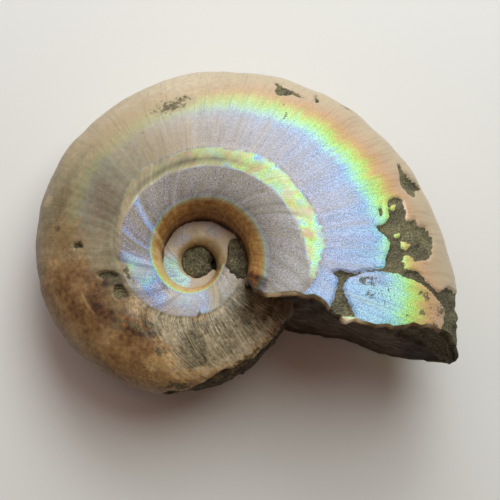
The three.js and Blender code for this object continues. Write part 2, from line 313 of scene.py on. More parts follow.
def tube_points(angle, share, height, side, sunk=0.0):
    """Points of the tube in the coil's own frame, in millimetres, sunk below its surface or not."""
    radius = whorl_radius(angle)
    spread = FLARE * smooth(angle, 4, LIP) * smooth(share, 0.6, 1)
    out = (share * (1 + spread) - FLANK_TOP) * radius
    up = height * radius
    width = np.where(share < FLANK_TOP, FLANK_TOP - SHOULDER, 1 - FLANK_TOP)
    facing = np.stack([out / width**2, up / HALF_THICKNESS**2], -1)
    facing /= np.linalg.norm(facing, axis=-1, keepdims=True) + TINY
    turn = np.radians(angle)
    reach = FLANK_TOP * radius + out
    raised = broad_relief(angle, share, side, reach * np.cos(turn), reach * np.sin(turn), up) - sunk
    away = reach + raised * facing[..., 0]
    return np.stack([away * np.cos(turn), away * np.sin(turn), up + raised * facing[..., 1]], -1)


shell_points = tube_points(grid_angle, grid_share, grid_height, grid_side)


def grid_normals(points):
    """Outward normals of a grid of rings, from the directions along and across it."""
    around = np.roll(points, -1, 1) - np.roll(points, 1, 1)
    along = np.gradient(points, axis=0)
    normal = np.cross(around, along)
    return normal / (np.linalg.norm(normal, axis=-1, keepdims=True) + TINY)


shell_normals = grid_normals(shell_points)
print("coil spans", np.round(np.ptp(shell_points.reshape(-1, 3), axis=0), 1), "mm")

# %% [markdown]
# Flakes and pits
#
# Pieces of the shell have flaked off and left shallow hollows with steep edges and a floor of rough
# sediment. They could be sculpted, or painted as a mask. Here each is a polygon seen along the coil's
# axis. The distance of every grid point to the nearest polygon edge, roughened by noise, tells how deep
# the point sinks, and later which material it shows.

# %% Outlines of the missing flakes, in millimetres from the coil axis
AROUND_ISLAND = (
    (21.4, 5.6), (21.7, 6), (22.2, 6.3), (22.7, 6.3), (23.1, 5.9), (23.4, 4.9), (23.4, 3.6), (24, 3.6),
    (24.5, 3.9), (24.8, 3.6), (24.6, 3.1), (25.2, 3), (25.7, 3.2), (26.4, 2.2), (26.5, 1.5), (26.3, 0.6),
    (26.2, -0.2), (25.6, -0.9), (24.3, -1.2), (24, -0.7), (23.3, -0.5), (22.8, -0.6), (22.6, -1.2),
    (23, -2.2), (24.4, -2.3), (24.9, -2.7), (25.5, -3.4), (26.5, -4.2), (27.1, -4.3), (28.4, -4.1),
    (28.6, -6.8), (28, -7), (27.4, -5.8), (26.8, -5.2), (26.1, -4.6), (25.3, -4), (24, -3.3), (23.1, -3.2),
    (22, -2.8), (20.7, -2.6), (19.7, -2.6), (18.8, -2.7), (17.5, -3.2), (16.6, -3.5), (16.2, -4.1),
    (16, -4.7), (16.2, -5.4), (17, -6.7), (17.6, -8.5), (14.4, -8), (14.8, -6.3), (15.4, -4.9),
    (15.6, -3.6), (15, -3), (15.8, -2.7), (16.6, -2.9), (17.5, -2.9), (18.8, -2.5), (19.7, -2.3),
    (20.4, -2.2), (20.7, -1.9), (20.9, -1), (21.2, -0.2), (21.4, 0.5), (21.1, 1.3), (20.1, 2.1),
    (19.7, 2.6), (20.5, 2.7), (21.1, 3), (21.5, 3.6), (21.6, 4.3), (21.5, 4.8),
)
SIDE_FLAKE = (
    (23, 10.8), (23.4, 10.9), (23.5, 10.2), (24.2, 9.3), (25.4, 9), (26.1, 8), (26.1, 7.4), (25.2, 7),
    (24.6, 6.6), (23.9, 7), (23.4, 7.6), (23.1, 8.5), (23.1, 9.7),
)
TOP_FLAKE = (
    (8.9, 20.4), (9.4, 20.6), (9.8, 20.1), (10.7, 19.7), (11.5, 19.3), (12.2, 18.5), (12.7, 18.2),
    (11.9, 18.4), (11, 18.9), (10.3, 18.6), (9.4, 18.5), (9, 19.1), (9.3, 19.8),
)
SMALL_FLAKES = (
    ((20.4, 4.7), (20.7, 4.8), (20.8, 4.2), (20.7, 3.7), (20.4, 3.9)),
    ((13.6, 18.8), (14, 18.8), (14.1, 18), (13.7, 17.7)),
)
# Chips of shell still standing inside the largest flake
LEFT_STANDING = (
    ((21.7, 5), (22, 5.4), (22.3, 5.3), (22.1, 4.6), (21.7, 4.5)),
    ((21.9, 1.7), (22.6, 1.9), (22.8, 1.6), (22.5, 1.3), (22, 1.3)),
    ((22.7, 1), (23.3, 0.9), (23.8, 0.7), (23.4, 0.2), (23.1, 0), (22.7, 0.4)),
)
VENTER_FLAKE = ((27.7, -4.1), (33, -3), (33, -14), (25, -11), (27.4, -7.8), (27.8, -6.2))
BACK_FLAKE = ((2, 19), (4.5, 20.4), (7.5, 19.5), (8.2, 16.8), (6, 15.2), (3.4, 16.3))


def pit(x, y, across, tall):
    """A small uneven outline round a middle, this many millimetres wide and high."""
    shape = (
        (-1, 0.1), (-0.7, 0.7), (0.1, 0.9), (0.6, 0.5), (1, -0.1),
        (0.8, -0.7), (0, -0.6), (-0.4, -1), (-0.8, -0.5),
    )
    return tuple((x + right * across / 2, y + up * tall / 2) for right, up in shape)


FLAKES_ABOVE = (
    AROUND_ISLAND, SIDE_FLAKE, TOP_FLAKE, VENTER_FLAKE, *SMALL_FLAKES,
    pit(-12.9, 1, 1.1, 0.7), pit(-9.5, -2.3, 2.4, 0.8), pit(-8.1, -4.2, 1.6, 1.5),
)
FLAKES_BELOW = (BACK_FLAKE, VENTER_FLAKE, pit(15.6, -13.4, 2.1, 1.6))
print(len(FLAKES_ABOVE), "flakes above,", len(FLAKES_BELOW), "below")


# %% Where a flake has bared the sediment
def inside_distance(x, y, outline):
    """Distance in millimetres to the outline's edge, positive inside it."""
    nearest = np.full(x.shape, np.inf)
    inside = np.zeros(x.shape, bool)
    for (left, low), (next_left, next_low) in zip(outline, outline[1:] + outline[:1]):
        across, up = x - left, y - low
        run, rise = next_left - left, next_low - low
        along_edge = np.clip((across * run + up * rise) / (run * run + rise * rise), 0, 1)
        nearest = np.minimum(nearest, np.hypot(across - along_edge * run, up - along_edge * rise))
        if rise:
            crosses = (low > y) != (next_low > y)
            inside ^= crosses & (x < run * up / rise + left)
    return np.where(inside, nearest, -nearest)


SOUND_SHELL = -9.0  # how far inside a flake a point is that is far from any
EDGE_WANDER = 0.22  # how far a flake's edge strays from its outline, in millimetres
on_venter = smooth(grid_share, 0.9, 0.97)  # seen along the coil axis the venter is foreshortened
wander_x = EDGE_WANDER * rough(shell_points, 1.3, 21) + 1.5 * on_venter * rough(shell_points, 5, 23, 4)
wander_y = EDGE_WANDER * rough(shell_points, 1.3, 27) + 2.5 * on_venter * rough(shell_points, 5, 29, 4)
plan_x = shell_points[..., 0] + wander_x
plan_y = shell_points[..., 1] + wander_y

last_whorl = grid_angle < 352
bare = np.full(plan_x.shape, SOUND_SHELL)
faces_up = shell_normals[..., 2]
for flakes, facing in ((FLAKES_ABOVE, faces_up > -0.3), (FLAKES_BELOW, faces_up < 0)):
    for outline in flakes:
        found = inside_distance(plan_x, plan_y, outline)
        bare = np.where(facing & last_whorl, np.maximum(bare, found), bare)
for outline in LEFT_STANDING:
    standing = inside_distance(plan_x, plan_y, outline)
    bare = np.where(faces_up > 0, np.minimum(bare, -standing), bare)
print("flakes bare", int((bare > 0).sum()), "of", bare.size, "points")

# %% Clusters of chips and specks: degrees, share, half length along the coil and out in millimetres
CHIP_CLUSTERS = (
    (99, 0.765, 2.4, 1), (94, 0.79, 1.5, 0.6), (113, 0.69, 0.4, 0.4), (-11.5, 0.65, 0.9, 0.9),
    (-12, 0.62, 0.5, 0.8), (-11, 0.84, 0.7, 0.9), (-17.5, 0.88, 0.8, 0.6), (-15.7, 0.83, 0.7, 0.6),
    (-13.5, 0.9, 0.9, 0.8), (57, 0.74, 0.3, 0.6), (-15.5, 0.65, 0.4, 0.6), (-13, 0.71, 0.7, 0.3),
    (-18, 0.78, 0.4, 0.4), (20, 0.68, 0.25, 0.25), (198, 0.53, 0.8, 0.8), (208, 0.52, 0.8, 0.7),
    (175, 0.69, 0.5, 0.8), (197, 0.43, 1.1, 0.4), (231, 0.63, 1.8, 0.5), (251, 0.73, 0.7, 0.7),
    (60, 0.8, 0.3, 0.4), (46, 0.96, 1.2, 0.3), (212, 0.6, 0.5, 0.3), (168, 0.83, 0.5, 0.5),
    (222, 0.66, 0.6, 0.4), (276, 0.45, 0.5, 0.8), (262, 0.95, 3, 0.5), (300, 0.93, 4, 0.5),
)
SPECKLED = (
    (240, 0.85, 2.4, 1.4), (225, 0.75, 3, 1.5), (180, 0.73, 2, 2.5), (72, 0.36, 2.5, 0.8),
    (100, 0.76, 4, 1.6), (252, 0.93, 4, 1.2), (210, 0.6, 3, 2), (190, 0.95, 6, 2), (45, 0.38, 3, 1),
    (243, 0.86, 4, 2.4), (-14, 0.88, 2, 2), (-14, 0.68, 2, 2),
)


def off_spot(angle, share, along_mm, out_mm):
    """Distance from an oval spot on the coil, 0 in its middle and 1 at its edge."""
    radius = whorl_radius(grid_angle)
    turn = np.radians(grid_angle - angle) * grid_share * radius / along_mm
    return np.hypot(turn, (grid_share - share) * radius / out_mm)


# Noise in the material will make chips where this is about 0 or more
chipped = np.full(grid_angle.shape, -1.6)
speckled = 0.2 * smooth(grid_angle, 60, 200)
for cluster in CHIP_CLUSTERS:
    chipped = np.where(grid_side > 0, np.maximum(chipped, 0.8 - 1.5 * off_spot(*cluster)), chipped)
for cluster in SPECKLED:
    speckled = np.maximum(speckled, smooth(off_spot(*cluster), 1.2, 0.4))
print(len(CHIP_CLUSTERS), "clusters of chips and", len(SPECKLED), "of specks")

# %% The worn lower edge, where the shell is gone from the venter
WORN_FROM = 250
WORN_TO = 333
WORN_DOWN_TO = -2.2  # millimetres from the coil's middle plane


def by_angle(degrees, values):
    """A value given at some angles of the coil, with straight lines between them."""
    return np.interp(grid_angle, degrees, values)


worn_share = by_angle(
    (WORN_FROM, 262, 270, 282, 291, 300, 312, 324, WORN_TO),
    (1.03, 0.98, 0.95, 0.93, 0.945, 0.972, 0.95, 0.935, 1.02),
)
worn_place = (grid_angle > WORN_FROM) & (grid_angle < WORN_TO) & (shell_points[..., 2] > WORN_DOWN_TO)
worn = (grid_share - worn_share) * whorl_radius(grid_angle) + 0.8 * rough(shell_points, 2, 31)
bare = np.maximum(bare, np.where(worn_place, worn, SOUND_SHELL))
print("bare sediment on", int((bare > 0).sum()), "of", bare.size, "points")

# %% [markdown]
# Growth lines
#
# The animal added to its lip in fine steps, and each left a line. On the inner flank the lines lean
# forward by about twenty degrees, and over the outer flank they run almost straight out. In the worn
# lower part of the whorl the outer layer is gone and the lines of the layer below curve the other way.
# A texture stretched along the coil would cut straight across these curves. So each point gets a
# second address, the angle at which its own growth line starts, and noise in that angle makes lines.

# %% An address for each growth line
LEAN_INSIDE = 87  # degrees for a full share of the radius
WORN_EDGE = np.array([
    (0.45, 206), (0.52, 212), (0.57, 221), (0.64, 239), (0.71, 251), (0.85, 260), (0.95, 268),
])
worn_from = np.interp(grid_share, *WORN_EDGE.T) + 3 * rough(shell_points, 1.5, 39)
worn_layer = smooth(grid_angle, worn_from - 2, worn_from + 2) * smooth(grid_angle, 338, 322)
worn_layer = worn_layer * smooth(grid_share, 0.45, 0.47)
growth_line = grid_angle - LEAN_INSIDE * np.clip(0.5 - grid_share, 0, 1)
# A line of the worn layer sweeps back by a lean that depends on where it starts, so its start is found
# step by step
worn_line = grid_angle.copy()
for _ in range(14):
    lean_worn = np.interp(worn_line, (190, 215, 275, 300), (150, 125, 30, 5))
    swept = worn_line + lean_worn * np.clip(grid_share - 0.5, 0, 0.45)
    worn_line = worn_line - 0.7 * (swept - grid_angle)


def line_noise(per_degree, per_share, seed, octaves=3, lines=growth_line):
    """Noise drawn out along the growth lines, with this many bumps in a degree and along a line."""
    place = np.stack([lines * per_degree, grid_share * per_share, grid_height * 3], -1)
    return rough(place, 1.0, seed, octaves)


fine_lines = line_noise(0.9, 1.5, 41)
broad_lines = line_noise(0.16, 1.2, 45, 2)
print("the worn layer covers", round(100 * float(worn_layer.mean()), 1), "% of the points")

# %% Relief in millimetres: flakes sink, and growth lines and wear stand on the shell
FLAKE_DEPTH = 0.44
FINE_LINE_HEIGHT = 0.035
BROAD_LINE_HEIGHT = 0.06
WORN_LINE_HEIGHT = 0.1
DENT_HEIGHT = 0.05
on_shell = smooth(bare, 0.05, -0.15)
lines_from = smooth(grid_share, 0.25, 0.3)
floor_bumps = (0.2 + 0.35 * smooth(bare, 0.3, 1.2)) * rough(shell_points, 1.1, 51, 3)
worn_relief = line_noise(0.3, 2.5, 61, 3, worn_line) + 0.5 * rough(shell_points, 0.7, 63)
height_field = floor_bumps * smooth(bare, 0, 0.3) - FLAKE_DEPTH * smooth(bare, -0.06, 0.12)
height_field += on_shell * lines_from * (FINE_LINE_HEIGHT * fine_lines + BROAD_LINE_HEIGHT * broad_lines)
height_field += on_shell * worn_layer * WORN_LINE_HEIGHT * (worn_relief - 0.8)
height_field += on_shell * DENT_HEIGHT * rough(shell_points, 2.2, 65)
height_field *= smooth(grid_share, SHOULDER, SHOULDER + 0.01)
shell_points = shell_points + shell_normals * height_field[..., None]
print("relief from", np.round(height_field.min(), 2), "to", np.round(height_field.max(), 2), "mm")

# %% [markdown]
# Where the mother-of-pearl shines, and in which colour
#
# Mother-of-pearl is made of aragonite plates about half a micrometre thick. Light reflected from the
# top and bottom of each plate adds up for one colour, so the colour follows the thickness of the
# plates and the tilt of the surface. On this shell it runs through the spectrum from the flank, which
# is lavender and blue, to the venter, where it passes green, yellow, orange and pink.
#
# A thin-film layer in the shader would change colour with the view, but where each colour lies would
# be left to chance, and the export would lose it. So each point of the mesh gets a place on the
# spectrum, called film, and a strength, called shine, worked out from its address.

# %% The spectrum, and how ragged its bands are
LAVENDER, BLUE, SKY, CYAN, MINT, LIME, GOLD, BEIGE = 0.1, 0.2, 0.3, 0.4, 0.5, 0.6, 0.8, 1.0
ragged = 0.012 * rough(shell_points, 1.4, 71)
ragged = ragged + 0.016 * line_noise(1.1, 9, 75, 2) + 0.014 * line_noise(2.4, 3, 77, 2)
print("a band's edge strays by", np.round(np.abs(ragged).max() * LIP_RADIUS, 1), "mm at most")

# %% Outer flank: the bands follow the venter, and fade as the coil goes back
band_share = grid_share + ragged - 0.028 * smooth(grid_angle, -6, -9) + 0.012 * smooth(grid_angle, 60, 85)
outer_film = np.interp(
    band_share,
    (0.45, 0.52, 0.6, 0.66, 0.69, 0.71, 0.735, 0.76, 0.79, 0.82, 0.85, 0.88, 0.93),
    (LAVENDER, 0.14, 0.18, 0.22, SKY, CYAN, MINT, LIME, 0.69, GOLD, 0.88, 0.95, BEIGE),
)
outer_film = outer_film + (band_share < 0.7) * 0.06 * line_noise(0.5, 3, 81)
outer_film = outer_film + 0.07 * smooth(grid_angle, 30, -10) * smooth(band_share, 0.74, 0.68)
outer_film = outer_film + 0.07 * smooth(grid_angle, -9, -13) * smooth(band_share, 0.72, 0.62)
outer_shine = by_angle(
    (-20, 25, 50, 75, 95, 125, 160, 185),
    (1, 0.95, 0.85, 0.5, 0.24, 0.13, 0.13, 0),
)
dull_lines = np.clip(line_noise(0.45, 1.5, 83), 0, 1)
outer_shine = outer_shine * (1 - 0.25 * smooth(band_share, 0.72, 0.6) * smooth(grid_angle, 10, 60))
outer_shine = outer_shine * (1 - 0.5 * dull_lines * smooth(band_share, 0.72, 0.66))
print("outer flank shines", round(float(outer_shine.mean()), 2), "on average")

# %% Inner flank: grey-violet, with streaks of blue as growth line, half width in degrees, strength
STREAKS = (
    (130.5, 3.2, 1.6), (147, 1.2, 0.5), (151, 1, 0.7), (155, 1.6, 0.45), (172, 3, 0.9), (166, 0.6, 0.4),
    (114, 0.5, 0.7), (92.5, 1.5, 0.5), (84, 0.5, 0.2), (-32, 1, 0.4), (-12, 1, 0.3), (8, 1, 0.25),
    (27, 0.7, 0.3),
)


def along_line(line, half_width):
    """1 on one growth line, falling off to both sides of it."""
    return np.exp(-(((growth_line - line) / half_width) ** 2))


streaks = sum(strength * along_line(line, half_width) for line, half_width, strength in STREAKS)
streaks = streaks * (0.75 + 0.5 * rough(shell_points, 1.5, 91))
many_rays = np.clip(line_noise(0.42, 0.8, 97, 2) - 0.05, 0, 1)
many_rays = many_rays * smooth(growth_line, 132, 146) * smooth(growth_line, 215, 190)
streaks = (streaks + 1.5 * many_rays) * smooth(grid_share, 0.44, 0.425)
inner_film = 0.03 + 0.22 * np.clip(streaks, 0, 1) + 0.05 * fine_lines
rays = line_noise(0.7, 1.2, 93)
inner_shine = 0.6 + 0.4 * np.clip(streaks, 0, 1) + 0.45 * rays
print(len(STREAKS), "streaks on the inner flank")

# %% Further back the inner flank is a patchwork of blue, green and dull places
def mixed(base, other, share):
    """The base value, with this share of it replaced by the other."""
    return base + (other - base) * share


patchy = rough(shell_points, 2.6, 95)
patchwork = smooth(grid_angle + 6 * patchy, 172, 190) * smooth(grid_angle, 330, 300)
patch_film = by_angle((185, 200, 222, 240, 262, 282), (0.24, 0.34, 0.22, 0.12, 0.3, 0.24))
patch_film = patch_film + 0.3 * rough(shell_points, 1.8, 99) + 0.1 * line_noise(0.3, 3, 101)
inner_film = mixed(inner_film, patch_film, patchwork)
patch_shine = by_angle(
    (180, 198, 212, 222, 232, 242, 255, 270, 282, 292, 300, 330),
    (0.8, 0.6, 0.9, 1.2, 0.8, 0.35, 0.5, 0.5, 0.8, 0.4, 0.2, 0.3),
)
patch_shine = patch_shine + 0.3 * rough(shell_points, 1.4, 103)
inner_shine = mixed(inner_shine, patch_shine, patchwork)
print("patchwork on", round(100 * float(patchwork.mean()), 1), "% of the points")

# %% Just above the umbilical wall the spectrum is squeezed into a narrow rim
def stretch(rises_from, rises_to, falls_from, falls_to):
    """1 between the two middle angles of the coil, falling to 0 at the outer ones."""
    return smooth(grid_angle, rises_from, rises_to) * smooth(grid_angle, falls_to, falls_from)


rim = smooth(grid_share, 0.285, 0.272)
rim_film = np.interp(
    grid_share + 0.4 * ragged,
    (0.262, 0.272, 0.279, 0.287),
    (GOLD, LIME, CYAN, BLUE),
)
rim_film = rim_film - 0.08 * stretch(185, 215, 240, 262)
# The rim shines most on the side of the umbilicus that faces the light, a painted highlight.
rim_shine = by_angle(
    (-20, 60, 130, 160, 185, 205, 240, 270, 300),
    (0.2, 0.1, 0.12, 0.4, 0.75, 1.2, 1.1, 0.6, 0.4),
)
inner_film = mixed(inner_film, rim_film, rim)
inner_shine = mixed(inner_shine, rim_shine, rim)
print("inner flank shines", round(float(inner_shine.mean()), 2), "on average")

# %% The bevel between the flanks catches the light as a bright crescent of green and yellow
step_edge = step_edge_at(grid_angle) + 0.005 * rough(shell_points, 1.6, 111)
step_edge = step_edge + 0.008 * line_noise(0.6, 3, 113, 2)
bevel_inner = by_angle(
    (-24, -18, 0, 40, 100, 150, 200),
    (0.42, 0.43, 0.408, 0.4, 0.408, 0.43, 0.44),
)
bevel_inner = bevel_inner + 0.004 * rough(shell_points, 1.6, 115)
crescent = smooth(grid_share, bevel_inner, bevel_inner + 0.012)
crescent = crescent * smooth(grid_share, step_edge, step_edge - 0.01)
crescent = crescent * stretch(-21, -17, 120, 180)
crescent_film = 0.58 + 0.38 * rough(shell_points, 1.1, 121) + 0.2 * line_noise(0.3, 4, 125)
crescent_shine = by_angle(
    (-16, 15, 36, 60, 80, 110, 200),
    (0.9, 0.8, 0.62, 0.55, 0.35, 0.14, 0.05),
)
crescent_shine = crescent_shine * (1 + 1.3 * rough(shell_points, 1.1, 127))

# Further back only a thin pale line is left along the bevel's inner edge, with a dull gap outside it
pale_line = np.exp(-(((grid_share - bevel_inner - 0.008) / 0.005) ** 2))
pale_line = pale_line * stretch(60, 90, 150, 175)
dull_gap = np.exp(-(((grid_share - bevel_inner - 0.036 - 0.004 * patchy) / 0.012) ** 2))
dull_gap = dull_gap * stretch(30, 70, 120, 150)
print("the crescent covers", round(100 * float(crescent.mean()), 1), "% of the points")

# %% Film and shine of the whole whorl
on_inner = smooth(grid_share, step_edge + 0.004, step_edge - 0.004)
flank_ends = 0.457 + 0.02 * smooth(grid_angle, 295, 315)
on_inner = np.where(grid_angle > 195, smooth(grid_share, flank_ends + 0.005, flank_ends - 0.005), on_inner)
film = mixed(outer_film, inner_film, on_inner)
shine = mixed(outer_shine, inner_shine, on_inner)
film = np.where(crescent > 0.5, crescent_film, film)
shine = mixed(shine, crescent_shine, crescent)
shine = shine * (1 - 2.4 * crescent * (1 - crescent)) * (1 - 0.75 * dull_gap)
print("film", round(float(film.mean()), 3), "shine", round(float(shine.mean()), 3), "on average")

# %% [markdown]
# The colour under the shine
#
# Where the nacre has weathered, the colour of the ground has crept in. It runs from cream, over tan and
# olive, to the dark brown of iron in the old lower edge. It could be hand painted on the mesh. A tone
# worked out from the address can instead follow the growth lines, the rim and the step by itself.
# Around the umbilicus the tone and the rust also hold painted light and shade.

# %% Tone of each part: 0 is cream and 1 is almost black
flank_tone = by_angle(
    (-25, 60, 90, 110, 130, 150, 165, 185, 200, 218, 238, 262, 290, 330),
    (0.18, 0.13, 0.12, 0.21, 0.36, 0.44, 0.49, 0.52, 0.62, 0.54, 0.55, 0.41, 0.46, 0.46),
)
venter_tone = by_angle(
    (-25, 0, 60, 90, 130, 150, 165, 200, 230, 260, 330),
    (0.22, 0.17, 0.08, 0.1, 0.22, 0.38, 0.46, 0.5, 0.56, 0.5, 0.6),
)
inner_tone = by_angle(
    (-25, 90, 130, 200, 222, 260, 285, 300, 325),
    (0.4, 0.36, 0.4, 0.28, 0.18, 0.22, 0.26, 0.36, 0.2),
)
# Where the rim faces the light it is painted paler, as light on it.
inner_tone = inner_tone - 0.25 * rim * stretch(175, 195, 235, 260)
# On the umbilical wall the tone is partly painted light and shade: pale where the wall faces the light,
# darker where it faces away, and darker at its foot, as shade in the seam.
wall_tone_and_light = by_angle(
    (-25, 40, 80, 120, 160, 200, 240, 300, 340),
    (0.42, 0.46, 0.52, 0.45, 0.28, 0.02, 0.05, 0.3, 0.6),
)
wall_streaks = rough(np.stack([grid_angle / 9, grid_share * 150, grid_side], -1), 1.0, 139)
wall_foot_shade = smooth(grid_height + 0.02 * rough(shell_points, 1.2, 137), 0.2, 0.165)
wall_tone_and_light = wall_tone_and_light + 0.14 * wall_streaks + 0.3 * wall_foot_shade
print("tone of the flank runs from", round(flank_tone.min(), 2), "to", round(flank_tone.max(), 2))

# %% Tone of the whole whorl
tone = mixed(flank_tone, venter_tone, smooth(grid_share, 0.82, 0.9))
tone = mixed(tone, inner_tone, on_inner)
tone = mixed(tone, 0.04, crescent * smooth(grid_angle, 100, 40))
tone = tone + (0.2 + 0.15 * patchy) * dull_gap
tone = mixed(tone, 0.05, 0.8 * pale_line)
tone = mixed(tone, wall_tone_and_light, smooth(grid_share, 0.268, 0.256))
blotches = rough(shell_points, 3.5, 141)
tone = tone + 0.1 * blotches * smooth(grid_angle, 60, 150) + 0.03 * blotches
beside_crescent = stretch(80, 110, 150, 178) * (1 - on_inner)
darker_beside = 0.14 * smooth(grid_share, 0.72, 0.56) - 0.06 * smooth(grid_share, 0.68, 0.76)
tone = tone + beside_crescent * darker_beside
outer_back = smooth(grid_angle, 150, 200) * smooth(grid_share, 0.45, 0.5)
tone = tone + (0.22 * rough(shell_points, 1.4, 145, 4) + 0.1 * rough(shell_points, 0.5, 147)) * outer_back
worn_streaks = 0.26 * line_noise(0.22, 1.2, 151, 3, worn_line) + 0.1 * rough(shell_points, 1.2, 149)
tone = mixed(tone, 0.41 - worn_streaks, worn_layer)
line_tone = 0.16 * along_line(162, 2.2) - 0.18 * rays - 0.4 * np.clip(streaks, 0, 1)
tone = tone + line_tone * on_inner
tone = tone + 0.05 * fine_lines * smooth(grid_angle, 90, 130)
print("tone", round(float(tone.mean()), 3), "on average")

# %% Stains: degrees, share, half length and half width in millimetres, how much darker
STAINS = (
    (198, 0.52, 1, 1.2, 0.25), (208, 0.52, 1, 0.9, 0.25), (216, 0.76, 4, 2.4, 0.08),
    (232, 0.62, 2.4, 1, 0.2), (205, 0.45, 3, 0.8, -0.15), (216, 0.7, 1.6, 0.9, 0.1),
    (275, 0.54, 1, 1.6, 0.18), (269, 0.74, 1.6, 2.6, 0.16), (302, 0.6, 3.5, 1.6, 0.1),
    (322, 0.62, 3, 3, 0.12), (300, 0.87, 6, 0.8, -0.2), (254, 0.8, 2.5, 1.2, -0.22),
    (204, 0.75, 1.8, 0.16, -0.22), (-31, 0.25, 1.2, 1.6, 0.4), (268, 0.88, 3, 0.6, -0.25),
    (158, 0.93, 0.6, 0.6, -0.2), (98, 0.77, 2.6, 1, 0.1), (150, 0.9, 6, 2, 0.08), (321, 0.9, 3, 2, 0.14),
    (240, 0.74, 2, 2, 0.08), (220, 0.86, 3, 2, -0.08), (205, 0.53, 2, 1, -0.1), (162, 0.47, 4, 0.6, -0.1),
    (300, 0.93, 3, 1, -0.15),
)


def spot(angle, share, along_mm, out_mm):
    """1 in the middle of an oval spot on the coil, 0 outside it, with a rough edge."""
    wander = 0.45 * rough(shell_points, 0.8, 131)
    return smooth(off_spot(angle, share, along_mm, out_mm) + wander, 1.15, 0.75)


for *where, darker in STAINS:
    tone = tone + darker * spot(*where)
print(len(STAINS), "stains")

# %% Iron has turned some places rust brown or ochre: degrees, share, half sizes in millimetres, strength
RUSTY = (
    (225, 0.64, 1.2, 0.8, 0.8), (232, 0.62, 1.5, 0.6, 0.8), (200, 0.83, 6, 4, 0.6), (240, 0.83, 5, 3, 0.7),
    (255, 0.93, 9, 1.4, 0.7), (295, 0.93, 6, 0.7, 0.5), (198, 0.43, 1.4, 0.6, 0.5),
    (276, 0.45, 1.2, 0.9, 0.4), (180, 0.78, 5, 3, 0.4), (225, 0.85, 6, 2.5, 0.5),
    (-13, 0.86, 1.6, 0.9, 0.3), (222, 0.53, 2.5, 0.9, 0.4),
)
on_wall = smooth(grid_share, 0.266, 0.256)
rust_and_shade = by_angle((130, 165, 190, 215, 340), (0, 0.15, 0.35, 0.5, 0.5))
rust_and_shade = rust_and_shade * smooth(grid_share, 0.45, 0.6)
rust_and_shade = rust_and_shade * (1 - 0.9 * worn_layer) * (1 + blotches + 0.8 * rough(shell_points, 1, 157, 4))
# On the umbilical wall the side that faces away from the light is painted red-brown, as shade.
rust_and_shade = rust_and_shade + 0.9 * on_wall * smooth(grid_angle, 230, 150)
rust_and_shade = rust_and_shade + 0.75 * on_wall * (grid_angle < 340) * smooth(grid_height, 0.17, 0.21)
for *where, strength in RUSTY:
    rust_and_shade = np.maximum(rust_and_shade, strength * spot(*where))
print("rust_and_shade", round(float(rust_and_shade.mean()), 3), "on average")

# %% The whorl before, in the umbilicus: a painted blue glint on its far side, and painted shade in the seam
inner_whorl = smooth(grid_angle, 346, 352)
turn_back = grid_angle - 360
lit = smooth(turn_back, 150, 185) * smooth(turn_back, 262, 245) * smooth(grid_share, 0.62, 0.52)
whorl_film = 0.38 + 0.12 * rough(shell_points, 1, 161) - 0.2 * (1 - lit)
whorl_shine = 0.75 * lit + (1 - lit) * (0.14 + 0.4 * rough(shell_points, 1.6, 163))
# Down its own wall, into the umbilicus, the whorl is painted darker, duller and redder, as shade.
wall_inside = smooth(grid_share, 0.33, 0.25)
whorl_shine = whorl_shine * (1 - 0.8 * wall_inside)
whorl_tone = 0.16 + 0.12 * rough(shell_points, 1.2, 165) + 0.25 * wall_inside - 0.2 * lit
# The seam against the last whorl is painted dark, as shade in the groove.
seam_shade = smooth(grid_share + 0.03 * rough(shell_points, 0.9, 167), 0.475, 0.5)
seam_shade = seam_shade * smooth(turn_back, -25, 10) * smooth(turn_back, 205, 175)
whorl_tone = whorl_tone + 0.85 * seam_shade
whorl_rust_and_shade = 0.3 * wall_inside + 0.1
film = mixed(film, whorl_film, inner_whorl)
shine = mixed(shine, whorl_shine * (1 - seam_shade), inner_whorl)
tone = mixed(tone, whorl_tone, inner_whorl)
rust_and_shade = np.clip(mixed(rust_and_shade, whorl_rust_and_shade, inner_whorl), 0, 1)
print("inner whorl shines", round(float(shine[-1].mean()), 2), "at its end")

# %% Where the shine is lost: on the wall, in dull places, under stains and on the underside
# The wall keeps some shine only where it faces the light, a painted highlight.
wall_shine = 0.4 * smooth(grid_angle, 150, 200)
shine = shine * np.where((grid_share < 0.256) & (inner_whorl < 0.5), wall_shine, 1)
shine = shine * (1 - 0.55 * np.clip(rough(shell_points, 1.1, 155) - 0.25, 0, 1))
for *where, darker in STAINS:
    shine = shine * (1 - 0.5 * spot(*where))
below = smooth(grid_height + 0.08 * blotches, 0.06, -0.18)
shine = shine * (1 - 0.5 * below)
tone = tone + below * (0.12 + 0.15 * blotches)
print("shine", round(float(shine.mean()), 3), "tone", round(float(tone.mean()), 3))

# %% [markdown]
# The edge of the shell at the aperture
#
# At the broken lip the thickness of the shell shows as a pale, layered ledge. A solidify modifier would
# make it as smooth as a cut. So extra rings turn in from the lip to the sediment in uneven steps, and
# go back under the shell, where the tube is closed.

# %% Rings of the ledge: share of the shell's thickness, millimetres back from the lip, unevenness
# Below zero a ring stands in front of the lip
SHELL = 0.5
LEDGE = (
    (0.95, -0.3, 1.6), (0.7, -0.5, 1.5), (0.55, -0.3, -1),
    (0.3, -0.3, 1), (0.2, -0.06, -1), (0.06, -0.06, 0.5),
)
KNOB_AT = 0.587  # share of the radius where a cream knob of shell stands out of the ledge


def lip_ring(sunk, recess_mm):
    """The lip's line again, sunk into the shell and set back along the coil."""
    back = np.degrees(recess_mm / (np.maximum(ring_share, 0.3) * LIP_RADIUS))
    return tube_points(grid_angle[0] + back, ring_share, ring_height, ring_side, sunk)


layer_wave = 0.14 * rough(shell_points[0] * (1, 1, 2), 0.9, 161) + 0.06 * rough(shell_points[0], 0.35, 163)
knob = 0.7 * np.exp(-(((ring_share - KNOB_AT) / 0.02) ** 2)) * (ring_side > 0)
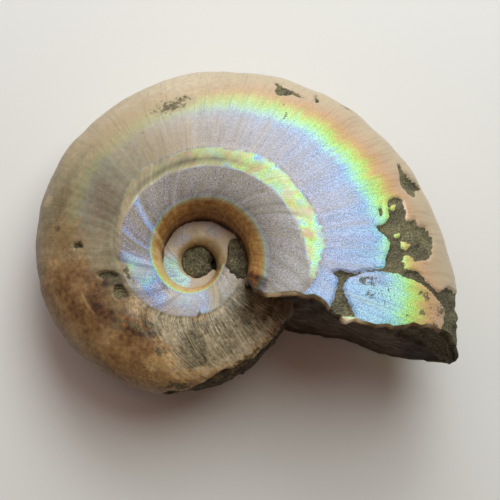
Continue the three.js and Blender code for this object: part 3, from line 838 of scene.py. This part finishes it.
# The upper edge stands out from the sediment, and the lower one hardly does
stands_out = np.where(ring_side > 0, 1, 0.25)
ledge = [lip_ring(SHELL + 0.25, 4.0), lip_ring(SHELL + 0.05, 0.6)]
for inset, back_mm, wave in LEDGE:
    ledge.append(lip_ring(SHELL * inset, (back_mm - knob) * stands_out + wave * layer_wave))
all_points = np.concatenate([np.array(ledge), shell_points])
print(len(ledge), "rings of ledge, and", len(shell_points), "of shell")


# %% From points to a mesh in the part's frame
def to_part(points):
    """From the coil's frame in millimetres to the part's frame in metres, resting on the ground."""
    flat = np.c_[points.reshape(-1, 3), np.ones(points.size // 3)] @ np.array(coil_to_part).T
    flat[:, 2] = np.maximum(flat[:, 2], 0)
    return flat[:, :3]


def tube_faces(rings, size):
    """Four-cornered faces between rings of the same size."""
    start = np.arange(rings - 1)[:, None] * size
    corner = (start + np.arange(size)).ravel()
    beside = (start + (np.arange(size) + 1) % size).ravel()
    return np.stack([corner, beside, beside + size, corner + size], 1)


def make_mesh(name, points, quads, caps, attributes):
    """A smooth-shaded mesh object with point attributes. A cap is a ring of corners to close."""
    mesh = bpy.data.meshes.new(name)
    faces = quads.tolist() + [list(map(int, cap)) for cap in caps]
    mesh.from_pydata(points.tolist(), [], faces)
    mesh.polygons.foreach_set("use_smooth", np.ones(len(faces), bool))
    for label, values in attributes.items():
        kind, field = ("FLOAT_VECTOR", "vector") if values.ndim == 2 else ("FLOAT", "value")
        made = mesh.attributes.new(label, kind, "POINT")
        made.data.foreach_set(field, values.astype(np.float32).ravel())
    mesh.validate()
    mesh.update()
    piece = bpy.data.objects.new(name, mesh)
    bpy.context.scene.collection.objects.link(piece)
    return piece


# %% What each point of the shell is told, with the rings of the ledge put before the others
def with_ledge(values, on_ledge):
    return np.concatenate([np.zeros((len(ledge), RING)) + on_ledge, values]).ravel()


def address(lines):
    """A growth line in degrees, hundredths of the radius, and a height."""
    place = np.stack([lines, grid_share * 100, grid_height * 9], -1)
    return np.concatenate([np.repeat(place[:1], len(ledge), 0), place]).reshape(-1, 3)


# From dark at the sediment to pale at the surface, layer by layer
LAYER_TONES = np.array([0.95, 0.9, 0.7, 0.55, 0.2, 0.3, 0.12, 0.3])[:, None]
ledge_tone = LAYER_TONES + 0.35 * rough(shell_points[0], 0.7, 169) + 0.5 * smooth(ring_share, 0.34, 0.26)
lower_tone = 0.78 + 0.15 * rough(shell_points[0], 0.7, 173)
told = {
    "film": with_ledge(film, 0.9),
    "shine": with_ledge(shine, 0.05),
    "tone": with_ledge(tone, np.where(ring_side > 0, ledge_tone - knob, lower_tone)),
    "rust_and_shade": with_ledge(rust_and_shade, np.where(ring_side > 0, 0.3, 0.1)),
    "bare": with_ledge(bare, bare[0] - 4 * knob),
    "chipped": with_ledge(chipped, -2.0),
    "speckled": with_ledge(speckled, 0),
    "worn": with_ledge(worn_layer, 0),
    "coil": address(growth_line),
    "worn_coil": address(worn_line),
}
rings = len(all_points)
caps = (np.arange(RING)[::-1], (rings - 1) * RING + np.arange(RING))
nacre_shell = make_mesh("nacre_shell", to_part(all_points), tube_faces(rings, RING), caps, told)
print("nacre_shell:", len(nacre_shell.data.polygons), "faces")

# %% [markdown]
# The sediment
#
# Mud filled the shell and turned to stone. It shows at the broken aperture, as a plug in the umbilicus,
# and as a patch beside the inner whorl. One block of rock inside the shell would cut through it. So each
# place has its own closed lump with a broken, grainy face, made of rows of points as the shell is.

# %% The face of rock at the aperture, a sheet of steps down from the upper flank to the lower one
FACE_SHARES = 120
FACE_STEPS = 56
# Pairs of share and millimetres that the sediment is set back behind the lip
FILL_RECESS = np.array([(0.22, 0.7), (0.3, 0.9), (0.62, 0.9), (0.8, 0.5), (0.93, 0.1), (1, 0.1)])
top_share, top_height = evenly(line_share, line_height, FACE_SHARES, 0.02 * HALF_THICKNESS)


def face_line(side, back_degrees, sunk):
    """Where the sediment meets the shell on one flank, a given way behind the lip."""
    sides = np.full(FACE_SHARES, float(side))
    recess = np.interp(top_share, *FILL_RECESS.T) * (1 if side > 0 else 0.1)
    recess = recess / (np.maximum(top_share, 0.3) * LIP_RADIUS)
    angle = lip_angle(top_share, sides) + np.degrees(recess) + back_degrees
    return tube_points(angle, top_share, side * top_height, sides, sunk)


def between(top, bottom):
    """Rows of points from one line down to another."""
    return top * (1 - down) + bottom * down


down = np.linspace(0, 1, FACE_STEPS)[:, None, None]
front = between(face_line(1, 0, SHELL - 0.02), face_line(-1, 0, SHELL - 0.02))
back = between(face_line(1, 7, SHELL + 0.3), face_line(-1, 7, SHELL + 0.3))
print("the face is", round(float(np.ptp(front[..., 2])), 1), "mm high")


# %% Relief of the break: a smooth brown slab above, coarse rock towards the venter
def slab_share(points):
    """1 on the smooth brown slab, 0 on the coarse greenish rock towards the venter."""
    reach = np.hypot(points[..., 0], points[..., 1])
    top = np.interp(reach, (20.5, 22, 24, 27, 31), (10, 6, 0, -2, -1.5))
    return smooth(points[..., 2] - top + 0.6 * rough(points, 2, 175), 0.5, -0.1)


def break_relief(points, middle):
    """How far the break stands forward, fading to nothing where it meets the shell."""
    turn = np.arctan2(points[..., 1], points[..., 0])
    forward = np.stack([np.sin(turn), -np.cos(turn), np.zeros_like(turn)], -1)
    reach = np.hypot(points[..., 0], points[..., 1])
    coarse = 1 - slab_share(points)
    ribbed = smooth(reach, 17.5, 15) * smooth(points[..., 2], -3, 0)
    ribs = np.sin(2.6 * reach - 0.9 * points[..., 2] + 2 * rough(points, 4, 171))
    amount = 0.35 * rough(points, 3.2, 173) + 0.16 * ribs * ribbed - 0.5 * coarse
    amount = amount + (0.1 + 0.6 * coarse) * rough(points, 1.3, 177)
    amount = amount + (0.06 + 0.1 * coarse) * rough(points, 0.4, 179)
    amount = amount + 1.1 * coarse * smooth(reach, 26, 30)
    return forward * (amount * np.clip(middle * 3, 0, 1))[..., None]


def sheet_faces(rows, columns):
    """Faces of a front and a back of as many points, joined round the rim."""
    at = np.arange(rows * columns).reshape(rows, columns)
    quads = np.stack([at[:-1, :-1], at[:-1, 1:], at[1:, 1:], at[1:, :-1]], -1).reshape(-1, 4)
    rim = np.r_[at[0, :], at[1:, -1], at[-1, -2::-1], at[-2:0:-1, 0]]
    behind = rows * columns
    side = np.stack([rim, np.roll(rim, -1), np.roll(rim, -1) + behind, rim + behind], 1)
    return np.concatenate([quads[:, ::-1], quads + behind, side])


front = front + break_relief(front, np.sin(np.pi * down[..., 0]))
face_points = np.concatenate([front.reshape(-1, 3), back.reshape(-1, 3)])
face_quads = sheet_faces(FACE_STEPS, FACE_SHARES)
print("face of rock:", len(face_quads), "faces")

# %% Lumps in the umbilicus: middle and half sizes in millimetres, and how boxy each is
PLUG = ((0, 0, 0), (1.95, 1.95, 2.35), 4.0)
PATCH = ((4.8, -0.5, 3.8), (1.2, 2.5, 0.9), 3.0)
LUMP_ROWS = 60
LUMP_COLUMNS = 96


def lump(middle, radii, boxy):
    """A boxy ball of rock from rings between two poles."""
    rise = np.linspace(-np.pi / 2, np.pi / 2, LUMP_ROWS)[:, None]
    turn = np.linspace(0, 2 * np.pi, LUMP_COLUMNS, endpoint=False)[None, :]
    level = np.cos(rise)
    ball = np.stack([level * np.cos(turn), level * np.sin(turn), np.sin(rise) + 0 * turn], -1)
    corners = (np.abs(ball) ** boxy).sum(-1, keepdims=True) ** (-1 / boxy)
    points = ball * corners * radii + middle
    bumps = 0.55 * rough(points, 1.3, 181) + 0.22 * rough(points, 0.5, 185)
    return points + ball * bumps[..., None] * level[..., None] ** 0.2


rock_points = [face_points]
rock_quads = [face_quads]
for size in (PLUG, PATCH):
    start = sum(len(part) for part in rock_points)
    rock_points.append(lump(*size).reshape(-1, 3))
    rock_quads.append(tube_faces(LUMP_ROWS, LUMP_COLUMNS) + start)
rock_points = np.concatenate(rock_points)
print("rock:", len(rock_points), "points")

# %% Where the rock is smooth slab, and where the slab is shaded darker
in_face = np.arange(len(rock_points)) < len(face_points)
face_reach = np.hypot(rock_points[:, 0], rock_points[:, 1])
slab = slab_share(rock_points) * in_face
shade_above = 0.5 * smooth(face_reach, 19, 16) * smooth(rock_points[:, 2], 2, 6)
shade = (smooth(face_reach, 25, 27) + shade_above) * slab
sediment = make_mesh(
    "sediment", to_part(rock_points), np.concatenate(rock_quads), (), {"slab": slab, "shade": shade}
)
print("sediment:", len(sediment.data.polygons), "faces")

# %% [markdown]
# Materials
#
# There are two real materials. The shell is mother-of-pearl, weathered, then cleaned and lightly
# polished after it was dug up, which gives the eye a satin gloss over colours that lie in the layer.
# The sediment is siltstone, broken and never polished, which is matt and grainy.
#
# Both could be painted as an image, but an image has one sharpness and needs the mesh laid out flat.
# Nodes can read what the mesh says at each point and add grain in real millimetres.


# %% Helpers for colours and nodes
def linear(hex_colour):
    """An sRGB hex colour as linear red, green, blue and alpha."""
    channels = [int(hex_colour[i : i + 2], 16) / 255 for i in (1, 3, 5)]
    return [c / 12.92 if c <= 0.04045 else ((c + 0.055) / 1.055) ** 2.4 for c in channels] + [1]


def new_material(name):
    material = bpy.data.materials.new(name)
    material.use_nodes = True
    material.node_tree.nodes.clear()
    return material, material.node_tree


def add(kind, inputs=None, output=0, stops=(), **settings):
    """Adds a node to the open tree and gives back one of its outputs.

    Each input gets a value, or a link if it is given an output. The stops are those of a colour ramp.
    """
    made = tree.nodes.new("ShaderNode" + kind)
    for name, value in settings.items():
        setattr(made, name, value)
    for name, value in (inputs or {}).items():
        if isinstance(value, bpy.types.NodeSocket):
            tree.links.new(value, made.inputs[name])
        else:
            made.inputs[name].default_value = value
    if stops:
        elements = made.color_ramp.elements
        while len(elements) < len(stops):
            elements.new(0.5)
        for element, (position, _) in zip(elements, stops):
            element.position = position
        for element, (_, colour) in zip(elements, stops):
            element.color = linear(colour)
    return made.outputs[output] if made.outputs else None


def per_mm(size):
    """Texture scale that gives features of this size in millimetres."""
    return 1 / (size * MM)


def varied(base, *noises, limited=False):
    """A value made uneven: each noise, from 0 to 1, adds or takes off up to half its strength."""
    for noise, strength in noises:
        base = add("Math", {0: noise, 1: strength, 2: base}, operation="MULTIPLY_ADD")
    half = sum(strength for _, strength in noises) / 2
    return add("Math", {0: base, 1: half}, operation="SUBTRACT", use_clamp=limited)


print("grey in the middle of sRGB is", round(linear("#808080")[0], 3), "in linear light")

# %% Colours, each list running along a ramp
# The spectrum starts and ends in the grey and the beige of nacre that hardly shines
FILM_COLOURS = (
    (0.0, "#837d7b"), (0.1, "#9b9ab0"), (0.2, "#92a3d0"), (0.3, "#8ab2e0"), (0.4, "#a0dce0"),
    (0.5, "#aeeeb0"), (0.6, "#bceb7e"), (0.7, "#d2ce76"), (0.8, "#d6ac78"), (0.9, "#cda88a"),
    (1.0, "#c2ad8c"),
)
GROUND_TONES = (
    (0.0, "#dccdb2"), (0.13, "#c0ad90"), (0.28, "#b5a17f"), (0.42, "#938a6e"), (0.56, "#7d7155"),
    (0.7, "#5f5239"), (0.85, "#403524"), (1.0, "#241b13"),
)
RUST_AND_SHADE_TONES = ((0.0, "#dcb982"), (0.3, "#bf8f4e"), (0.6, "#94622e"), (0.8, "#66391a"), (1.0, "#2e1c10"))
BROWN_ROCK = ((0.3, "#201810"), (0.48, "#3f3220"), (0.6, "#5a482c"), (0.74, "#9a7640"))
DARK_ROCK = ((0.3, "#322d1e"), (0.48, "#544d37"), (0.62, "#6b6449"), (0.78, "#998d64"))
OLIVE_ROCK = ((0.3, "#4c4732"), (0.48, "#6e6749"), (0.62, "#857c59"), (0.78, "#ab9d70"))
SLAB_ROCK = ((0.25, "#241a12"), (0.45, "#4a382a"), (0.6, "#67523e"), (0.78, "#9a866a"))
print(len(FILM_COLOURS), "colours of film,", len(GROUND_TONES), "of weathered nacre")

# %% [markdown]
# Mother-of-pearl
#
# The plates of aragonite are about five thousandths of a millimetre wide, and the light plays on each
# of them by itself. That is far too fine for the render, so the glitter is drawn 0.11 to 0.13 mm wide,
# about the size of a pixel. Growth lines are down to a tenth of a millimetre wide on the real shell,
# and here they are a quarter of one near the lip, which is as fine as shows.

# %% What the mesh says at each point
nacre, tree = new_material("mother_of_pearl_fossil")
film_at, shine_at, tone_at, rust_and_shade_at, bare_at, chipped_at, speckled_at, worn_at = (
    add("Attribute", output="Fac", attribute_name=name)
    for name in ("film", "shine", "tone", "rust_and_shade", "bare", "chipped", "speckled", "worn")
)
coil_at = add("Attribute", output="Vector", attribute_name="coil")
worn_coil_at = add("Attribute", output="Vector", attribute_name="worn_coil")
place = add("TexCoord", output="Object")
print("attributes read:", len([node for node in tree.nodes if node.type == "ATTRIBUTE"]))

# %% Growth lines, and the scratches of the worn layer
# The scales are bumps per degree, per hundredth of the radius, and per ninth of it in height. Near the
# lip a line is 0.27 mm wide and 5 mm long. In the worn part a scratch is 0.1 mm by 1.5 mm.
HAIR_LINE_SCALE = (1.6, 0.06, 1.0)
SCRATCH_SCALE = (2.0, 0.09, 1.0)
line_place = add("VectorMath", {0: coil_at, 1: HAIR_LINE_SCALE}, operation="MULTIPLY")
hair_lines = add("TexNoise", {"Vector": line_place, "Scale": 1.0, "Detail": 4})
scratch_place = add("VectorMath", {0: worn_coil_at, 1: SCRATCH_SCALE}, operation="MULTIPLY")
scratches = add("TexNoise", {"Vector": scratch_place, "Scale": 1.0, "Detail": 4, "Distortion": 0.5})
print("hair lines", 1 / HAIR_LINE_SCALE[0], "degrees wide, scratches", 1 / SCRATCH_SCALE[0])

# %% Colour of the film
REAL_PLATE = 0.005  # millimetres wide
DRAWN_PLATE = 0.13
plate_grain = add("TexNoise", {"Vector": place, "Scale": per_mm(DRAWN_PLATE), "Detail": 2})
film_place = varied(film_at, (plate_grain, 0.3), (hair_lines, 0.14), limited=True)
film_colour = add("ValToRGB", {"Fac": film_place}, stops=FILM_COLOURS)
print("plates drawn", round(DRAWN_PLATE / REAL_PLATE), "times as wide as they are")

# %% Colour of the ground, weathered and rusty, and red-brown as painted shade on the umbilical wall, with mottling half a millimetre across
mottle = add("TexNoise", {"Vector": place, "Scale": per_mm(0.5), "Detail": 4})
mottle = add("Math", {0: mottle, 1: 0.5}, operation="SUBTRACT")
mottling = add("Math", {0: rust_and_shade_at, 1: 0.5, 2: 0.22}, operation="MULTIPLY_ADD")
tone_place = add("Math", {0: mottle, 1: mottling, 2: tone_at}, operation="MULTIPLY_ADD")
tone_place = varied(tone_place, (hair_lines, 0.08))
scratch_patches = add("TexNoise", {"Vector": place, "Scale": per_mm(1.4), "Detail": 2})
scratched = add("Math", {0: scratches, 1: 3.4, 2: -1.7}, operation="MULTIPLY_ADD")
scratched = add("Math", {0: scratched, 1: scratch_patches}, operation="MULTIPLY")
worn_mottle = add("TexNoise", {"Vector": place, "Scale": per_mm(0.32), "Detail": 4})
scratched = varied(scratched, (worn_mottle, 0.7))
scratched = add("Math", {0: scratched, 1: worn_at}, operation="MULTIPLY")
tone_place = add("Math", {0: tone_place, 1: scratched}, operation="SUBTRACT", use_clamp=True)
rust_patches = add("TexNoise", {"Vector": place, "Scale": per_mm(0.7), "Detail": 3})
rust_and_shade_place = varied(rust_and_shade_at, (rust_patches, 0.5), limited=True)
grey_ground = add("ValToRGB", {"Fac": tone_place}, stops=GROUND_TONES)
rusty_and_shaded_ground = add("ValToRGB", {"Fac": tone_place}, stops=RUST_AND_SHADE_TONES)
ground_colour = add("Mix", {0: rust_and_shade_place, 6: grey_ground, 7: rusty_and_shaded_ground}, output=2, data_type="RGBA")
print("nodes so far:", len(tree.nodes))

# %% The film over the ground, where it shines, with darker growth lines and glitter
sparkle = add("TexNoise", {"Vector": place, "Scale": per_mm(0.11), "Detail": 1})
only_shiny = add("Math", {0: shine_at, 1: 4.0}, operation="MULTIPLY", use_clamp=True)
shine_place = varied(shine_at, (sparkle, 0.5))
shine_place = add("Math", {0: shine_place, 1: only_shiny}, operation="MULTIPLY", use_clamp=True)
pearl_colour = add("Mix", {0: shine_place, 6: ground_colour, 7: film_colour}, output=2, data_type="RGBA")
line_shade = add("MapRange", {"Value": hair_lines, "From Min": 0.3, "From Max": 0.5, "To Min": 0.8})
# Blue film glitters the most, and beige hardly
blueness = add("Math", {0: 1.1, 1: film_at}, operation="SUBTRACT")
glittering = add("Math", {0: shine_place, 1: blueness}, operation="MULTIPLY")
glitter = add("TexNoise", {"Vector": place, "Scale": per_mm(0.12), "Detail": 0})
glitter = add("Math", {0: glitter, 1: 2.2, 2: -1.1}, operation="MULTIPLY_ADD")
glitter = add("Math", {0: glitter, 1: glittering, 2: 1.0}, operation="MULTIPLY_ADD")
brightness = add("Math", {0: line_shade, 1: glitter}, operation="MULTIPLY")
pearl_colour = add("VectorMath", {0: pearl_colour, "Scale": brightness}, operation="SCALE")
print("nodes so far:", len(tree.nodes))

# %% [markdown]
# Sediment that shows through the shell
#
# A flake leaves a crisp edge, because nacre breaks cleanly, and the clusters of chips and specks are
# too small to be worth points of the mesh. So the material cuts them all, each with a threshold on
# what the mesh says plus noise: the distance from the edge of a flake, or the nearness to a cluster.
# The grains of silt in them are under a twentieth of a millimetre wide on the real one, too fine to
# show in the render, and are drawn 0.2 mm wide.

# %% Where rock shows: flakes, chips and specks, with their sizes in millimetres
CHIP_SIZE = 0.45
SPECK_SIZE = 0.28
flake_edge = add("TexNoise", {"Vector": place, "Scale": per_mm(0.35), "Detail": 3})
bare_place = varied(bare_at, (flake_edge, 0.35))
flaked = add("MapRange", {"Value": bare_place, "From Min": -0.04, "From Max": 0.04})
chip_noise = add("TexNoise", {"Vector": place, "Scale": per_mm(CHIP_SIZE), "Detail": 3})
chip_place = varied(chipped_at, (chip_noise, 4.0))
is_chip = add("MapRange", {"Value": chip_place, "From Min": -0.2, "From Max": 0.3, "To Max": 0.85})
speck_noise = add("TexNoise", {"Vector": place, "Scale": per_mm(SPECK_SIZE), "Detail": 1})
speck_limit = add("Math", {0: speckled_at, 1: -0.19, 2: 0.79}, operation="MULTIPLY_ADD")
speck_place = add("Math", {0: speck_noise, 1: speck_limit}, operation="SUBTRACT")
is_speck = add("MapRange", {"Value": speck_place, "From Max": 0.05, "To Max": 0.6})
is_rock = add("Math", {0: is_chip, 1: is_speck}, operation="MAXIMUM")
is_rock = add("Math", {0: flaked, 1: is_rock}, operation="MAXIMUM")
print("chips are cut by noise", round(CHIP_SIZE / SPECK_SIZE, 1), "times as coarse as specks")

# %% Colour of that rock: dark and olive patches 2.5 mm across, and brown where it is worn
REAL_SILT = 0.05  # millimetres wide at most
DRAWN_SILT = 0.2
rock_grain = add("TexNoise", {"Vector": place, "Scale": per_mm(DRAWN_SILT), "Detail": 4})
rock_patches = add("TexNoise", {"Vector": place, "Scale": per_mm(2.5), "Detail": 2})
rock_patches = add("MapRange", {"Value": rock_patches, "From Min": 0.45, "From Max": 0.6})
dark_rock = add("ValToRGB", {"Fac": rock_grain}, stops=DARK_ROCK)
olive_rock = add("ValToRGB", {"Fac": rock_grain}, stops=OLIVE_ROCK)
rock_colour = add("Mix", {0: rock_patches, 6: dark_rock, 7: olive_rock}, output=2, data_type="RGBA")
worn_patches = add("TexNoise", {"Vector": place, "Scale": per_mm(0.9), "Detail": 4})
worn_grain = varied(rock_grain, (worn_patches, 0.7))
brown_rock = add("ValToRGB", {"Fac": worn_grain}, stops=BROWN_ROCK)
rock_colour = add("Mix", {0: worn_at, 6: rock_colour, 7: brown_rock}, output=2, data_type="RGBA")
colour = add("Mix", {0: is_rock, 6: pearl_colour, 7: rock_colour}, output=2, data_type="RGBA")
print("silt drawn", round(DRAWN_SILT / REAL_SILT), "times as coarse as it is")

# %% Fine relief and gloss
ARAGONITE_IOR = 1.53  # aragonite bends light a little more than window glass
line_bump = add("Bump", {"Strength": 0.25, "Distance": 0.05 * MM, "Height": hair_lines})
grain_height = add("TexNoise", {"Vector": place, "Scale": per_mm(0.22), "Detail": 3})
grain_bump = add(
    "Bump", {"Strength": 0.35, "Distance": 0.05 * MM, "Height": grain_height, "Normal": line_bump}
)
rock_height = add("TexNoise", {"Vector": place, "Scale": per_mm(0.3), "Detail": 4})
rock_height = add("Math", {0: rock_height, 1: flaked}, operation="MULTIPLY")
rock_bump = add(
    "Bump", {"Strength": 0.9, "Distance": 0.25 * MM, "Height": rock_height, "Normal": grain_bump}
)
roughness = add("MapRange", {"Value": shine_place, "To Min": 0.52, "To Max": 0.3})
roughness = add("Math", {0: is_rock, 1: 0.4, 2: roughness}, operation="MULTIPLY_ADD", use_clamp=True)
surface = add(
    "BsdfPrincipled",
    {"Base Color": colour, "Roughness": roughness, "IOR": ARAGONITE_IOR, "Normal": rock_bump},
)
add("OutputMaterial", {"Surface": surface})
nacre_shell.data.materials.append(nacre)
print(nacre.name, "has", len(tree.nodes), "nodes")

# %% [markdown]
# Siltstone
#
# The slab below the lip has fine bedding, seen as streaks that run along it, and the rest is grains
# without order. One stretched texture for all of it would draw streaks on the lumps too, so the mesh
# says which is which. Both get the same small bumps, and hardly any gloss. The grains are again drawn
# coarser than real silt, so that they show.

# %% Siltstone, broken and matt
STREAK_SIZES = (2.5, 0.6, 0.5)  # millimetres
siltstone, tree = new_material("siltstone_sediment")
slab_at = add("Attribute", output="Fac", attribute_name="slab")
shade_at = add("Attribute", output="Fac", attribute_name="shade")
place = add("TexCoord", output="Object")
fine_grain = add("TexNoise", {"Vector": place, "Scale": per_mm(0.22), "Detail": 4})
coarse_grain = add("TexNoise", {"Vector": place, "Scale": per_mm(0.8), "Detail": 3})
grain = varied(fine_grain, (coarse_grain, 0.5))
streak_scale = [per_mm(size) for size in STREAK_SIZES]
streak_place = add("VectorMath", {0: place, 1: streak_scale}, operation="MULTIPLY")
slab_grain = add("TexNoise", {"Vector": streak_place, "Scale": 1.0, "Detail": 5})
slab_grain = add("Math", {0: shade_at, 1: -0.22, 2: slab_grain}, operation="MULTIPLY_ADD")
coarse_rock = add("ValToRGB", {"Fac": grain}, stops=DARK_ROCK)
slab_rock = add("ValToRGB", {"Fac": slab_grain}, stops=SLAB_ROCK)
colour = add("Mix", {0: slab_at, 6: coarse_rock, 7: slab_rock}, output=2, data_type="RGBA")
height = add("TexNoise", {"Vector": place, "Scale": per_mm(0.3), "Detail": 4})
bump = add("Bump", {"Strength": 0.8, "Distance": 0.2 * MM, "Height": height})
surface = add("BsdfPrincipled", {"Base Color": colour, "Roughness": 0.82, "IOR": 1.5, "Normal": bump})
add("OutputMaterial", {"Surface": surface})
sediment.data.materials.append(siltstone)
print(siltstone.name, "has", len(tree.nodes), "nodes")

# %% Both pieces ride the part's only body and stand in for its solid
for piece in (nacre_shell, sediment):
    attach(piece, "root")
    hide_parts("ammonite")
print("pieces:", nacre_shell.name, sediment.name)

# %% [markdown]
# The studio
#
# The shell lies on plain uncoated paper, off-white and matt. The light is that of a broad window at the
# top of the picture, with a bright room around it, so that the shadow is soft and lies below and to
# the left. One large lamp would give that shadow, but real paper also takes on the colours of the
# room. So there are two lights for the window, a pale wall, and a weak warm lamp above.

# %% Paper
bpy.ops.mesh.primitive_plane_add(size=1.2, location=(0, 0, 0))
paper = bpy.context.object
paper.name = "paper"
paper_material, tree = new_material("matt_paper")
surface = add("BsdfPrincipled", {"Base Color": linear("#e8e5e1"), "Roughness": 0.9})
add("OutputMaterial", {"Surface": surface})
paper.data.materials.append(paper_material)
print("paper", round(paper.dimensions.x, 2), "m wide")


# %% Window, wall, lamp and room
def area_light(name, location, size, watts, colour):
    """A round light that faces the shell."""
    data = bpy.data.lights.new(name, "AREA")
    data.shape = "DISK"
    data.size = size
    data.energy = watts
    data.color = linear(colour)[:3]
    light = bpy.data.objects.new(name, data)
    bpy.context.scene.collection.objects.link(light)
    light.location = location
    light.rotation_euler = (-Vector(location)).to_track_quat("-Z", "Y").to_euler()


area_light("window_low", (0, 0.2, 0.16), 0.16, 0.3, "#f4f9ff")
area_light("window_high", (0.06, 0.12, 0.24), 0.2, 0.43, "#f2fffc")
area_light("pale_wall", (-0.15, 0.1, 0.25), 0.2, 0.1, "#fff6f4")
area_light("warm_lamp", (0, 0, 0.35), 0.25, 0.09, "#ffb894")
room = bpy.data.worlds.new("room")
room.use_nodes = True
room_light = room.node_tree.nodes["Background"]
room_light.inputs["Color"].default_value = linear("#f4e0d6")
room_light.inputs["Strength"].default_value = 0.09
bpy.context.scene.world = room
bpy.context.scene.view_settings.view_transform = "Standard"
print("lights:", len(bpy.data.lights))
